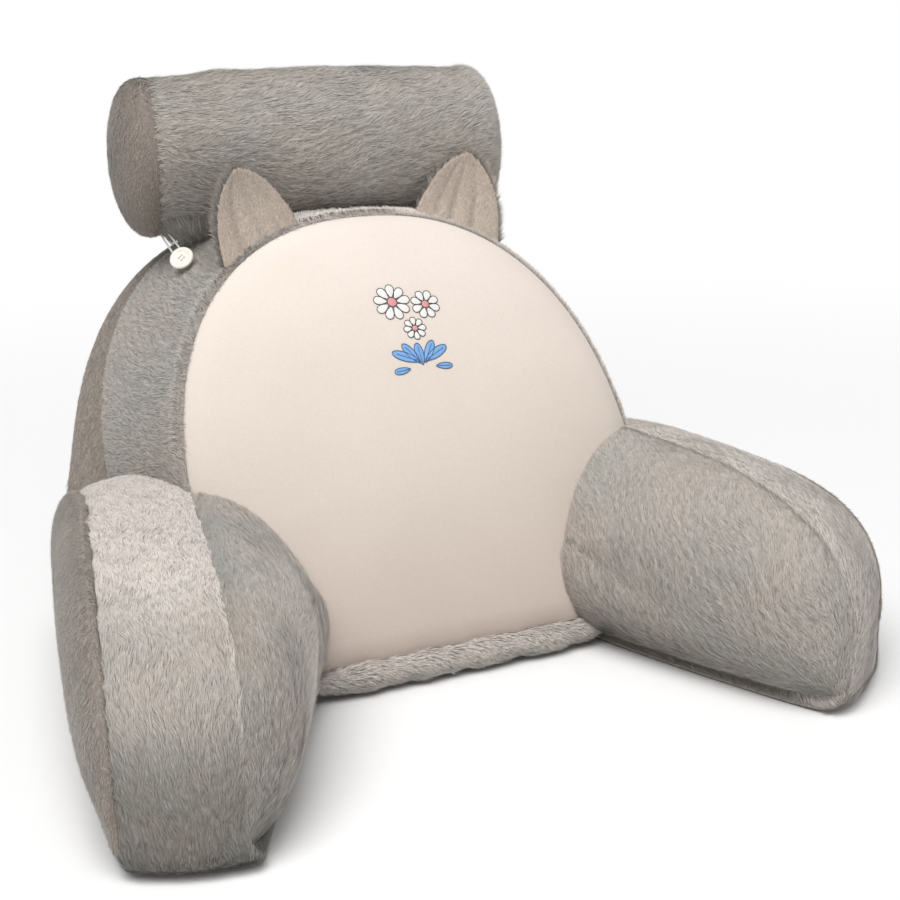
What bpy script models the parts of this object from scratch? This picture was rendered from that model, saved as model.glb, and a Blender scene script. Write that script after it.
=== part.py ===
"""Reading pillow with arms: a leaning back cushion with a wide fur gusset and a domed velvet
front panel, two filled arms, a neck roll, two pointed ears, and a button with an elastic loop
at each end of the roll.

Metres, +Z up. The front faces -Y, and the origin is the middle of the back's flat base.
"""

import math

import bmesh
import bpy
import numpy as np

# ---- driving dimensions ----
PANEL_HEIGHT = 0.465  # front panel, measured up its slope
PANEL_HALF_WIDTH = 0.243
SHOULDER = 0.168  # slope length from the foot to the panel's widest line
LEAN = math.radians(30.7)  # the front panel leans back by this from upright
PANEL_FOOT = (0.0, -0.105, 0.027)  # middle of the panel's lower edge
DOME_POWER = 2.29  # roundness of the panel's top; 2 is an ellipse
FOOT_POWER = 6.0  # squareness of the panel's lower corners
FRONT_CROWN = 0.024

GUSSET_DEPTH = 0.209  # from the front seam to the rear seam
GUSSET_DROP = 0.021  # the rear seam lies this much lower
GUSSET_FLARE = 0.034  # and this much further out
GUSSET_CROWN = 0.009
BACK_CROWN = 0.105
BACK_SWELL = 0.62  # how far the lower back swells out past its seam

ARM_ROOT = (0.241, 0.002, 0.201)  # where the right arm's inner seam leaves the gusset
ARM_REACH = {"right": 0.372, "left": 0.388}  # from the root forward to the tip
ARM_BAND = 0.096  # width of the top band, seam to seam
ARM_SPLAY = {"right": math.radians(3.9), "left": math.radians(11.7)}
ARM_BEHIND = 0.085  # length of the arm beside the back, at the floor
ARM_BAND_CROWN = 0.007
ARM_INNER_CROWN = {"right": 0.105, "left": 0.083}
ARM_OUTER_CROWN = 0.042
ARM_TOP_POWER = {"right": 3.05, "left": 2.7}  # squareness of the tip's upper corner
BAND_DROP = {"right": 0.028, "left": 0.005}  # the outer seam lies this much lower
FOOT_INSET = {"right": 0.108, "left": 0.104}  # the inner seam's foot lies nearer the seat
TIP_INSET = {"right": 0.042, "left": 0.002}  # the same at the arm's tip
FOOT_ROLL = 0.010  # the band rolls out this far under the inner seam's foot
FOOT_ROLL_LIFT = 0.024  # height of that seam above the floor
TIP_SETBACK = {"right": 0.085, "left": 0.015}  # the outer seam's tip lies this much behind

ROLL_CENTRE = (-0.009, 0.257, 0.488)
ROLL_RADIUS = 0.092
ROLL_HALF = 0.166  # half of the fur tube, cap seam to cap seam
ROLL_CAP_CROWN = 0.053
ROLL_YAW = math.radians(-10.5)
ROLL_TAPER = 0.07  # the tube is this much slimmer at its ends

STRIP_HEIGHT = 0.0225
STRIP_DEPTH = 0.026
STRIP_ENDS = (-0.161, 0.137)  # the left arm leaves more of it in view

EAR_SPAN = (0.066, 0.153)  # the ear's base along the seam, from the middle outwards
EAR_TIP = (0.132, 0.134, 0.485)
EAR_BACK = 0.008  # the ear's middle stands this far behind the seam
EAR_THICK = 0.011
BUTTON_PLACE = (0.158, 0.412)  # across the back, and as a share of the gusset's depth
BUTTON_RISE = 0.010  # it leans on its lower edge, so its middle is this far off the gusset
BUTTON_FACING = (0.50, -0.60, 0.62)  # the right button's face
BUTTON_RADIUS = 0.0125
BUTTON_THICK = 0.005
LOOP_RADIUS = 0.0011
LOOP_GAP = 0.0045  # half of the space between its two strands
LOOP_START = math.radians(62.0)  # the loop leaves the roll this far below its level line

ARM_SWELL = 0.10
SEAM_LIFT = 0.012  # the seams round the base lie this high above the floor
FOOT_TUCK = 1.0  # how gently the sides start to bulge just above those seams

SHEET = 0.003  # thickness of a sewn-on panel
GAP = 0.0008  # left between pieces that touch
SEAM_ROOM = 0.003  # left under a sewn-on panel along its seam

BACK_COUNT = 56  # points around the back
ARM_COUNT = 48  # points around an arm
ROLL_COUNT = 32
NORMAL_BLENDS = 1  # times that a panel's offset directions are averaged with their neighbours

UP_SLOPE = np.array([0.0, math.sin(LEAN), math.cos(LEAN)])
OUT_OF_PANEL = np.array([0.0, -math.cos(LEAN), math.sin(LEAN)])


# ---- shared shapes ----
def quadrant_loop(count, centre, reach, powers):
    """Closed loop of four superellipse quarters about a centre, points evenly spaced.

    reach is (right, up, left, down). powers is one exponent for each quarter, starting at
    the upper right and going anticlockwise.
    """
    signs = ((1, 1), (-1, 1), (-1, -1), (1, -1))
    spans = ((0, 1), (2, 1), (2, 3), (0, 3))
    turns = np.linspace(0.0, math.pi / 2, 160)
    points = []
    for quarter in range(4):
        across, along = spans[quarter]
        power = 2.0 / powers[quarter]
        x = signs[quarter][0] * reach[across] * np.abs(np.cos(turns)) ** power
        y = signs[quarter][1] * reach[along] * np.abs(np.sin(turns)) ** power
        piece = np.stack([centre[0] + x, centre[1] + y], 1)
        points.append(piece if quarter % 2 == 0 else piece[::-1])
    line = np.concatenate(points + [points[0][:1]])
    steps = np.linalg.norm(np.diff(line, axis=0), axis=1)
    travelled = np.concatenate([[0.0], np.cumsum(steps)])
    wanted = np.linspace(0.0, travelled[-1], count, endpoint=False)
    return np.stack([np.interp(wanted, travelled, line[:, k]) for k in range(2)], 1)


def dome_rings(rim, centre, direction, crown, lifted, swell, count):
    """Rings from a rim to near a centre, rising by crown times a power of the ring's angle's sine.

    lifted is 1 where the rim is well above the floor and 0 where it is near it. There the dome
    starts gently. swell widens the rings past the rim before they close in, as a tight filling
    does.
    """
    rings = []
    lifted = np.asarray(lifted).reshape(-1, 1)
    swell = np.asarray(swell).reshape(-1, 1) * lifted
    power = 1.0 + FOOT_TUCK * (1.0 - lifted)
    for k in range(1, count + 1):
        angle = 0.5 * math.pi * k / (count + 0.6)
        ratio = math.cos(angle) * (1.0 + swell * math.sin(angle))
        rise = crown * math.sin(angle) ** power
        rings.append(centre + ratio * (rim - centre) + rise * np.asarray(direction))
    return np.array(rings)


def ring_normals(rings):
    """Outward unit normals of a grid of rings whose points run anticlockwise seen from its end."""
    around = np.roll(rings, -1, axis=1) - np.roll(rings, 1, axis=1)
    along = np.gradient(rings, axis=0)
    normal = np.cross(around, along)
    length = np.linalg.norm(normal, axis=2, keepdims=True)
    return normal / np.maximum(length, 1e-12)


def on_floor(rings, first_lift=SEAM_LIFT):
    """The same rings with none below the floor, and the first and last seams a little above it."""
    kept = np.array(rings, float)
    kept[..., 2] = np.maximum(kept[..., 2], 0.0)
    for seam, lift in ((kept[0], first_lift), (kept[-1], SEAM_LIFT)):
        seam[:, 2] = np.hypot(seam[:, 2], lift)
    return kept


def ring_solid(name, rings, material, tips=(None, None), crossed=None):
    """One closed object skinned over rings of equal count, with a point or a face at each end.

    crossed says, for each band between two rings, whether its squares take the other diagonal,
    so that a panel's faces split the same way as those of the dome under it.
    """
    rings = np.asarray(rings, float)
    total, count = rings.shape[:2]
    mesh = bmesh.new()
    verts = [[mesh.verts.new(point) for point in ring] for ring in rings]
    for k in range(total - 1):
        for i in range(count):
            j = (i + 1) % count
            square = [verts[k][i], verts[k][j], verts[k + 1][j], verts[k + 1][i]]
            if crossed and crossed[k]:
                square = square[1:] + square[:1]
            mesh.faces.new((square[0], square[1], square[2]))
            mesh.faces.new((square[0], square[2], square[3]))
    for ring, tip in ((verts[0], tips[0]), (verts[-1], tips[1])):
        if tip is None:
            mesh.faces.new(ring)
        else:
            point = mesh.verts.new(tip)
            for i in range(count):
                mesh.faces.new((ring[i], ring[(i + 1) % count], point))
    bmesh.ops.triangulate(mesh, faces=mesh.faces[:])
    bmesh.ops.recalc_face_normals(mesh, faces=mesh.faces[:])
    data = bpy.data.meshes.new(name)
    mesh.to_mesh(data)
    mesh.free()
    data.shade_smooth()
    data.materials.append(material)
    thing = bpy.data.objects.new(name, data)
    bpy.context.scene.collection.objects.link(thing)
    thing.parent = PILLOW
    return thing


def fabric(name, colour, roughness):
    """A matt cloth material of one colour."""
    material = bpy.data.materials.new(name)
    material.use_nodes = True
    shader = material.node_tree.nodes["Principled BSDF"]
    shader.inputs["Base Color"].default_value = (*colour, 1.0)
    shader.inputs["Roughness"].default_value = roughness
    shader.inputs["Metallic"].default_value = 0.0
    return material


def keep_largest(mesh):
    """Deletes every loose island of a bmesh but the one with the most faces."""
    left = set(mesh.faces)
    islands = []
    while left:
        island = {left.pop()}
        edge_of_island = list(island)
        while edge_of_island:
            face = edge_of_island.pop()
            for edge in face.edges:
                for other in edge.link_faces:
                    if other in left:
                        left.remove(other)
                        island.add(other)
                        edge_of_island.append(other)
        islands.append(island)
    islands.sort(key=len)
    extra = [face for island in islands[:-1] for face in island]
    bmesh.ops.delete(mesh, geom=extra, context="FACES")


def cut(thing, cutter):
    """Takes the cutter's volume out of a piece and clears the thin faces that it leaves."""
    modifier = thing.modifiers.new("fit", "BOOLEAN")
    modifier.operation = "DIFFERENCE"
    modifier.solver = "EXACT"
    modifier.object = cutter
    modifier.use_self = True
    graph = bpy.context.evaluated_depsgraph_get()
    data = bpy.data.meshes.new_from_object(thing.evaluated_get(graph))
    thing.modifiers.remove(modifier)
    mesh = bmesh.new()
    mesh.from_mesh(data)
    bmesh.ops.remove_doubles(mesh, verts=mesh.verts[:], dist=0.00002)
    bmesh.ops.dissolve_degenerate(mesh, edges=mesh.edges[:], dist=0.00002)
    keep_largest(mesh)
    bmesh.ops.triangulate(mesh, faces=mesh.faces[:])
    mesh.to_mesh(data)
    mesh.free()
    data.shade_smooth()
    thing.data = data


# ---- the back ----
def panel_point(x, slope):
    """Points of the front seam's plane, from their places across and up the slope."""
    return np.asarray(PANEL_FOOT) + np.outer(x, (1.0, 0.0, 0.0)) + np.outer(slope, UP_SLOPE)


def back_loop():
    """Outline of the front panel as places across and up the slope."""
    reach = (PANEL_HALF_WIDTH, PANEL_HEIGHT - SHOULDER, PANEL_HALF_WIDTH, SHOULDER)
    powers = (DOME_POWER, DOME_POWER, FOOT_POWER, FOOT_POWER)
    return quadrant_loop(BACK_COUNT, (0.0, SHOULDER), reach, powers)


def gusset_points(loop, share, room=0.0):
    """The gusset's points behind those of the front outline, at a share of its depth.

    The gusset flares with the share and bulges between its seams. room is a distance off it.
    """
    front = panel_point(loop[:, 0], loop[:, 1])
    outward = (loop - (0.0, SHOULDER)) / (PANEL_HALF_WIDTH, PANEL_HEIGHT - SHOULDER)
    outward /= np.linalg.norm(outward, axis=1, keepdims=True)
    sideways = np.outer(outward[:, 0], (1.0, 0.0, 0.0)) + np.outer(outward[:, 1], UP_SLOPE)
    bulge = GUSSET_CROWN * np.sin(math.pi * share) ** 0.7
    off = GUSSET_FLARE * share * np.abs(outward[:, 0]) + bulge + room
    return front + np.outer(share, (0.0, GUSSET_DEPTH, -GUSSET_DROP)) + sideways * off[:, None]


def gusset_place(x, share, room):
    """Points a little off the upper gusset, from their places across and over its depth."""
    x = np.atleast_1d(np.asarray(x, float))
    level = (1.0 - np.abs(x / PANEL_HALF_WIDTH) ** DOME_POWER) ** (1.0 / DOME_POWER)
    loop = np.stack([x, SHOULDER + (PANEL_HEIGHT - SHOULDER) * level], 1)
    return gusset_points(loop, share * np.ones(len(x)), room)


def back_grids():
    """The back's front dome, gusset and rear dome, each as rings from its first seam on."""
    loop = back_loop()
    low = np.clip(1.0 - loop[:, 1] / 0.06, 0.0, 1.0)
    gusset = []
    for share in (0.0, 0.1, 0.3, 0.5, 0.7, 0.9, 0.97, 1.0):
        ring = gusset_points(loop, share * np.ones(len(loop)))
        ring[:, 2] -= low * (PANEL_FOOT[2] + 0.004) * min(1.0, share / 0.1)
        gusset.append(ring)
    gusset = on_floor(gusset)
    front = gusset[0]
    rear = gusset[-1]
    middle = np.asarray(PANEL_FOOT) + SHOULDER * UP_SLOPE
    lifted = np.clip((loop[:, 1] - 0.02) / 0.12, 0.0, 1.0)
    front_dome = dome_rings(front, middle, OUT_OF_PANEL, FRONT_CROWN, lifted, 0.0, 5)
    middle_rear = middle + (0.0, GUSSET_DEPTH, -GUSSET_DROP)
    height = np.clip((loop[:, 1] - SHOULDER) / (PANEL_HEIGHT - SHOULDER), 0.0, 1.0)
    swell = BACK_SWELL * (1.0 - 0.9 * height**0.7)
    rear_dome = dome_rings(rear, middle_rear, (0.0, 1.0, 0.0), BACK_CROWN, lifted, swell, 7)
    return front_dome, gusset, rear_dome, middle, middle_rear


def dome_normals(grid, direction):
    """Outward normals of a dome, turned half way to its direction along the seam.

    They are averaged with their neighbours around, so that sharp corners don't fold an offset.
    """
    normal = ring_normals(grid)
    if np.sum(normal[-1] @ np.asarray(direction)) < 0:
        normal = -normal
    for _ in range(NORMAL_BLENDS):
        normal = np.roll(normal, 1, axis=1) + 2.0 * normal + np.roll(normal, -1, axis=1)
        normal /= np.linalg.norm(normal, axis=2, keepdims=True)
    normal[0] += direction
    normal[0] /= np.linalg.norm(normal[0], axis=1, keepdims=True)
    return normal


def dome_tip(middle, direction, crown):
    """The highest point of a dome."""
    return middle + crown * np.asarray(direction)


def dome_sheet(name, rim, rings, tip, direction, material, last):
    """A thin panel lying on a dome: its under side, its edge at the seam and its top.

    last says that the dome is the last end of its cushion's rings, and not the first.
    """
    grid = np.concatenate([rim[None], rings])
    normal = dome_normals(grid, direction)
    room = np.linspace(SEAM_ROOM, GAP, len(grid)).reshape(-1, 1, 1)
    under = grid + room * normal
    over = grid + (GAP + SHEET) * normal
    tips = (tip + GAP * np.asarray(direction), tip + (GAP + SHEET) * np.asarray(direction))
    crossed = [last] * len(rings) + [False] + [not last] * len(rings)
    return ring_solid(name, np.concatenate([under[::-1], over]), material, tips, crossed)


def back_envelope(front_dome, gusset, rear_dome, middle, middle_rear):
    """A cutter a little larger than the back with both of its panels on."""
    room = SHEET + 3 * GAP
    first = np.concatenate([gusset[:1], front_dome])
    last = np.concatenate([gusset[-1:], rear_dome])
    side = ring_normals(gusset)
    if np.sum(side[2] * (gusset[2] - gusset[2].mean(0))) < 0:
        side = -side
    parts = [
        (first + room * dome_normals(first, OUT_OF_PANEL))[::-1],
        (gusset + 2 * GAP * side)[1:-1],
        last + room * dome_normals(last, (0.0, 1.0, 0.0)),
    ]
    rings = np.concatenate(parts)
    rings[..., 2] = np.where(rings[..., 2] < 0.003, -0.01, rings[..., 2])
    tips = (
        dome_tip(middle, OUT_OF_PANEL, FRONT_CROWN + room),
        dome_tip(middle_rear, (0.0, 1.0, 0.0), BACK_CROWN + room),
    )
    cutter = ring_solid("back_room", rings, FUR, tips)
    cutter.hide_render = True
    cutter.display_type = "WIRE"
    return cutter


def make_back():
    """The filled back, its velvet front panel and its short-plush rear panel."""
    front_dome, gusset, rear_dome, middle, middle_rear = back_grids()
    rings = np.concatenate([front_dome[::-1], gusset, rear_dome])
    front_tip = dome_tip(middle, OUT_OF_PANEL, FRONT_CROWN)
    rear_tip = dome_tip(middle_rear, (0.0, 1.0, 0.0), BACK_CROWN)
    ring_solid("back_cushion", rings, FUR, (front_tip, rear_tip))
    dome_sheet("front_panel", gusset[0], front_dome, front_tip, OUT_OF_PANEL, VELVET, False)
    dome_sheet("back_panel", gusset[-1], rear_dome, rear_tip, (0.0, 1.0, 0.0), PLUSH, True)
    return back_envelope(front_dome, gusset, rear_dome, middle, middle_rear)


def make_base_strip():
    """The rolled lower edge of the gusset, in the step below the front panel."""
    rings = []
    turns = np.linspace(0.0, 2 * math.pi, 12, endpoint=False)
    for share in np.linspace(-1.0, 1.0, 15):
        x = STRIP_ENDS[0] + 0.5 * (share + 1.0) * (STRIP_ENDS[1] - STRIP_ENDS[0])
        size = (1.0 - abs(share) ** 8 * 0.55) * (1.0 + 0.06 * math.sin(95.0 * x))
        z = 0.5 * STRIP_HEIGHT + 0.5 * STRIP_HEIGHT * size * 1.15 * np.sin(turns)
        z = np.clip(z, 0.0, STRIP_HEIGHT)
        y = 0.001 + 0.5 * STRIP_DEPTH * size * np.cos(turns)
        y = PANEL_FOOT[1] + np.minimum(y, 0.016 - 0.72 * z)
        rings.append(np.stack([np.full(12, x), y, z], 1))
    return ring_solid("base_strip", rings, FUR)


# ---- the arms ----
def arm_grids(side):
    """An arm's inner dome, top band and outer dome, in the order of their rings."""
    sign = 1.0 if side == "right" else -1.0
    splay = ARM_SPLAY[side]
    ahead = np.array([sign * math.sin(splay), -math.cos(splay), 0.0])
    outward = np.array([sign * math.cos(splay), math.sin(splay), 0.0])
    root = np.array([sign * ARM_ROOT[0], ARM_ROOT[1], 0.0])
    middle = (0.05, 0.06)
    reach = (ARM_REACH[side] - middle[0], ARM_ROOT[2] - middle[1], ARM_BEHIND + middle[0], middle[1])
    powers = (ARM_TOP_POWER[side], 4.0, 6.0, 14.0)
    loop = quadrant_loop(ARM_COUNT, middle, reach, powers)
    behind = np.clip(-loop[:, 0] / ARM_BEHIND, 0.0, 1.0)
    along = loop[:, 0] - math.tan(LEAN) * loop[:, 1] * behind
    up = loop[:, 1] - 0.012 * behind
    inner = root + np.outer(np.maximum(along, 0.0), ahead) + np.outer(up, (0.0, 0.0, 1.0))
    inner[:, 1] -= np.minimum(along, 0.0)
    ahead_share = np.clip(along / ARM_REACH[side], 0.0, 1.0)
    inset = FOOT_INSET[side] + (TIP_INSET[side] - FOOT_INSET[side]) * ahead_share
    inset = inset * (1.0 - up / ARM_ROOT[2])
    inner -= np.outer(inset, outward)
    drop = BAND_DROP[side] * np.clip(up / ARM_ROOT[2], 0.0, 1.0)
    band = []
    spread = loop - middle
    spread /= np.linalg.norm(spread, axis=1, keepdims=True)
    swell = np.outer(spread[:, 0], ahead) + np.outer(spread[:, 1], (0.0, 0.0, 1.0))
    width = ARM_BAND * (1.0 - 0.3 * behind)
    setback = TIP_SETBACK[side] * ahead_share**2
    low = np.clip(1.0 - up / 0.03, 0.0, 1.0)
    for share in (0.0, 0.04, 0.25, 0.5, 0.75, 1.0):
        ring = inner + share * (np.outer(width + inset, outward) - np.outer(setback, ahead))
        ring[:, 2] -= share * drop
        ring += ARM_BAND_CROWN * math.sin(math.pi * share) * swell
        if share == 0.04:
            ring -= np.outer(low * (FOOT_ROLL + share * (width + inset)), outward)
            ring[:, 2] += low * 0.4 * FOOT_ROLL_LIFT
        band.append(ring)
    band = on_floor(band, FOOT_ROLL_LIFT)
    lifted = np.clip((band[0][:, 2] - FOOT_ROLL_LIFT) / 0.05, 0.0, 1.0)
    centre = root + 0.09 * ahead + (0.0, 0.0, 0.105)
    outer_centre = root + ARM_BAND * outward + (0.0, 0.0, 0.115)
    inner_dome = dome_rings(
        band[0], centre, -outward, ARM_INNER_CROWN[side], lifted, ARM_SWELL, 6
    )
    outer_dome = dome_rings(
        band[-1], outer_centre, outward, ARM_OUTER_CROWN, lifted, ARM_SWELL, 5
    )
    return inner_dome, band, outer_dome, centre, outer_centre, outward


def make_arm(side, cutter):
    """A filled arm with its inner and outer panels, all fitted against the back."""
    inner_dome, band, outer_dome, centre, outer_centre, outward = arm_grids(side)
    inner_tip = dome_tip(centre, -outward, ARM_INNER_CROWN[side])
    outer_tip = dome_tip(outer_centre, outward, ARM_OUTER_CROWN)
    rings = np.concatenate([inner_dome[::-1], band, outer_dome])
    pieces = [
        ring_solid("arm_" + side, rings, FUR, (inner_tip, outer_tip)),
        dome_sheet("arm_inner_" + side, band[0], inner_dome, inner_tip, -outward, FUR, False),
    ]
    for piece in pieces:
        cut(piece, cutter)
    dome_sheet("arm_outer_" + side, band[-1], outer_dome, outer_tip, outward, PLUSH, True)


# ---- the neck roll ----
def turn_roll(points):
    """Points of the roll's own frame, axis along X, placed on the gusset."""
    c, s = math.cos(ROLL_YAW), math.sin(ROLL_YAW)
    x = c * points[..., 0] - s * points[..., 1] + ROLL_CENTRE[0]
    y = s * points[..., 0] + c * points[..., 1] + ROLL_CENTRE[1]
    return np.stack([x, y, points[..., 2] + ROLL_CENTRE[2]], -1)


def roll_ring(x, radius):
    """One round section of the roll at a place along its axis."""
    turns = np.linspace(0.0, 2 * math.pi, ROLL_COUNT, endpoint=False)
    across = radius * np.cos(turns)
    up = radius * np.sin(turns)
    return np.stack([np.full(ROLL_COUNT, x), across, up], 1)


def make_roll(cutter):
    """The fur tube and its two puffed round caps, pressed flat where they lie on the back."""
    sections = []
    for share in np.linspace(-1.0, 1.0, 9):
        radius = ROLL_RADIUS * (1.0 - ROLL_TAPER * abs(share) ** 3)
        sections.append(roll_ring(share * ROLL_HALF, radius))
    pieces = [ring_solid("bolster", turn_roll(np.array(sections)), FUR)]
    for side, sign in (("left", -1.0), ("right", 1.0)):
        rim = ROLL_RADIUS * (1.0 - ROLL_TAPER)
        start = sign * (ROLL_HALF + GAP)
        cap = [roll_ring(start, rim)]
        for k in range(1, 5):
            angle = 0.5 * math.pi * k / 4.6
            radius = rim * math.cos(angle) * (1.0 + 0.25 * math.sin(angle))
            cap.append(roll_ring(start + sign * ROLL_CAP_CROWN * math.sin(angle), radius))
        tip = turn_roll(np.array([start + sign * ROLL_CAP_CROWN, 0.0, 0.0]))
        pieces.append(
            ring_solid("bolster_cap_" + side, turn_roll(np.array(cap)), PLUSH, (None, tip))
        )
    for piece in pieces:
        cut(piece, cutter)


# ---- the ears ----
def make_ear(side):
    """A flat pointed ear, lightly padded, its base following the top seam.

    Each level runs between two bowed edges that meet at the tip.
    """
    sign = 1.0 if side == "right" else -1.0
    turns = np.linspace(0.0, 2 * math.pi, 14, endpoint=False)
    middle, half = 0.5 * (EAR_SPAN[0] + EAR_SPAN[1]), 0.5 * (EAR_SPAN[1] - EAR_SPAN[0])
    shares = (EAR_BACK + 0.5 * EAR_THICK * np.sin(turns)) / GUSSET_DEPTH
    base = gusset_place(sign * (middle - half * np.cos(turns)), shares, 1.5 * GAP)
    inner, outer = gusset_place(sign * np.array(EAR_SPAN), EAR_BACK / GUSSET_DEPTH, 1.5 * GAP)
    tip = np.array([sign * EAR_TIP[0], EAR_TIP[1], EAR_TIP[2]])
    bow_outer = 0.5 * (outer + tip) + np.array([sign * 0.022, 0.0, 0.010])
    bow_inner = 0.5 * (inner + tip) + np.array([-sign * 0.010, 0.0, 0.016])
    rings = []
    for share in np.linspace(0.0, 0.94, 8):
        rest = 1.0 - share
        edge_a = rest**2 * outer + 2 * rest * share * bow_outer + share**2 * tip
        edge_b = rest**2 * inner + 2 * rest * share * bow_inner + share**2 * tip
        ring = 0.5 * (edge_a + edge_b) + np.outer(np.cos(turns), 0.5 * (edge_b - edge_a))
        hollow = 0.006 * math.sin(math.pi * share) * np.cos(turns - math.pi / 2) ** 2
        ring[:, 1] += 0.5 * EAR_THICK * (1.0 - 0.5 * share) * np.sin(turns) + hollow
        if not rings:
            along_seam = base - ring
        rings.append(ring + rest**2 * along_seam)
    return ring_solid("ear_" + side, rings, PLUSH, (None, tip))


# ---- buttons and loops ----
def button_seat(side):
    """The middle of a button's underside, and the way that it faces."""
    sign = 1.0 if side == "right" else -1.0
    facing = np.array(BUTTON_FACING) * (sign, 1.0, 1.0)
    centre = gusset_place(sign * BUTTON_PLACE[0], BUTTON_PLACE[1], BUTTON_RISE)[0]
    return centre, facing / np.linalg.norm(facing)


def make_button(side):
    """A round button with a raised rim and a dished middle, lying on the gusset."""
    centre, facing = button_seat(side)
    across = np.cross(facing, (0.0, 1.0, 0.0))
    across /= np.linalg.norm(across)
    along = np.cross(facing, across)
    turns = np.linspace(0.0, 2 * math.pi, 20, endpoint=False)
    circle = np.outer(np.cos(turns), across) + np.outer(np.sin(turns), along)
    profile = (
        (0.55, 0.0),
        (0.90, 0.1),
        (1.00, 0.45),
        (0.96, 0.85),
        (0.82, 1.00),
        (0.66, 0.85),
        (0.55, 0.70),
    )
    rings = []
    for radius, height in profile:
        rings.append(centre + radius * BUTTON_RADIUS * circle + height * BUTTON_THICK * facing)
    return ring_solid("button_" + side, rings, RESIN)


def make_loop(side):
    """A thin elastic from the roll's cap seam, round under the button's middle and back."""
    sign = 1.0 if side == "right" else -1.0
    centre, facing = button_seat(side)
    rim = ROLL_RADIUS * (1.0 - ROLL_TAPER) + LOOP_RADIUS + 3 * GAP
    start = np.array([sign * ROLL_HALF, -rim * math.cos(LOOP_START), -rim * math.sin(LOOP_START)])
    start = turn_roll(start)
    run = centre - start
    run -= (run @ facing) * facing
    run /= np.linalg.norm(run)
    aside = LOOP_GAP * np.cross(run, facing)
    shank = centre - (LOOP_RADIUS + 2 * GAP) * facing
    rim_edge = shank - (BUTTON_RADIUS + LOOP_RADIUS) * run
    along_seam = math.copysign(LOOP_GAP, aside[0]) * np.array(
        [math.cos(ROLL_YAW), math.sin(ROLL_YAW), 0.0]
    )
    points = [start + along_seam, rim_edge + aside]
    for angle in np.linspace(0.0, math.pi, 9):
        points.append(shank + math.cos(angle) * aside + math.sin(angle) * LOOP_GAP * run)
    points += [rim_edge - aside, start - along_seam]
    curve = bpy.data.curves.new("loop_" + side, "CURVE")
    curve.dimensions = "3D"
    curve.bevel_depth = LOOP_RADIUS
    curve.bevel_resolution = 2
    curve.use_fill_caps = True
    spline = curve.splines.new("POLY")
    spline.points.add(len(points) - 1)
    for slot, point in zip(spline.points, points):
        slot.co = (*point, 1.0)
    curve.materials.append(ELASTIC)
    thing = bpy.data.objects.new("loop_" + side, curve)
    bpy.context.scene.collection.objects.link(thing)
    thing.parent = PILLOW
    return thing


for old in list(bpy.data.objects):
    bpy.data.objects.remove(old)

PILLOW = bpy.data.objects.new("reading_pillow", None)
bpy.context.scene.collection.objects.link(PILLOW)

FUR = fabric("grey_fur", (0.30, 0.29, 0.27), 0.95)
VELVET = fabric("cream_velvet", (0.80, 0.75, 0.69), 0.85)
PLUSH = fabric("taupe_plush", (0.31, 0.27, 0.24), 0.9)
RESIN = fabric("cream_resin", (0.85, 0.82, 0.75), 0.35)
ELASTIC = fabric("pale_elastic", (0.75, 0.74, 0.72), 0.7)

back_room = make_back()
make_base_strip()
for arm_side in ("left", "right"):
    make_arm(arm_side, back_room)
make_roll(back_room)
for end in ("left", "right"):
    make_ear(end)
    make_button(end)
    make_loop(end)
bpy.data.objects.remove(back_room)
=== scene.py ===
"""Reading pillow with arms: the looks of every piece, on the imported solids.

Metres, +Z up, the front faces -Y. Every skin is worked out as rings of points that run round a
piece from one side to the other, and its hairs are set on those rings.
"""

import math

import bpy
import numpy as np
from mathutils import Matrix


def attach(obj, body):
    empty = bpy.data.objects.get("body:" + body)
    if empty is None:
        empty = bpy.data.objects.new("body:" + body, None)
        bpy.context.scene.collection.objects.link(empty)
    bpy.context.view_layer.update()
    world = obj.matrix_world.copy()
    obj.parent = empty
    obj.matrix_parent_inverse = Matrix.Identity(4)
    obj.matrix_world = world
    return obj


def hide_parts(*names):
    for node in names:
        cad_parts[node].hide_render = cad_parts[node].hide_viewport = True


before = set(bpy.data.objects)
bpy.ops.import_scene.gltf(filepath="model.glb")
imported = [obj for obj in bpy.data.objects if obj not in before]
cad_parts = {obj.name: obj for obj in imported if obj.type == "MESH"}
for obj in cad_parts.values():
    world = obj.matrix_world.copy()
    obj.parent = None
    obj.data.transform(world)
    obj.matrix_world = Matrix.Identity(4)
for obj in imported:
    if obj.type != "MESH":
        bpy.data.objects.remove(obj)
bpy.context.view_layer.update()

# ---- Filled back ----
# The back is a cover stuffed with loose fibre: a domed front, a wide gusset of long grey pile
# round the top and sides, and a rear that bulges. It stands on its flat base. The gusset's
# pile is brushed from the front seam towards the rear.
SIDES = (("left", -1.0), ("right", 1.0))
PANEL_HEIGHT, PANEL_HALF_WIDTH, SHOULDER = 0.465, 0.243, 0.168
PANEL_FOOT = np.array([0.0, -0.105, 0.027])
LEAN = math.radians(30.7)
UP_SLOPE = np.array([0.0, math.sin(LEAN), math.cos(LEAN)])
OUT_OF_PANEL = np.array([0.0, -math.cos(LEAN), math.sin(LEAN)])
TO_REAR = np.array([0.0, 1.0, 0.0])
DOME_POWER, FOOT_POWER, FRONT_CROWN = 2.29, 6.0, 0.024
GUSSET_SHIFT = np.array([0.0, 0.209, -0.021])  # from the front seam to the rear seam
GUSSET_FLARE, GUSSET_CROWN, BACK_CROWN, BACK_SWELL = 0.034, 0.009, 0.105, 0.62
GUSSET_ROUND, NEAR_FLOOR = 0.7, 0.06  # power of the gusset's bulge; height where it reaches down
CREST_PUFF, CREST_FROM, CREST_FADE = 0.007, 0.41, 0.05  # more bulge where the roll lies
RIM_PUFF, RIM_SHARE = 0.0055, 0.045  # and a rim of fur that stands up round the velvet
SEAM_LIFT, BACK_ROUND = 0.012, 300
PILE_DEPTH = 0.003  # the cloth lies this far below the tips of the long pile
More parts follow.
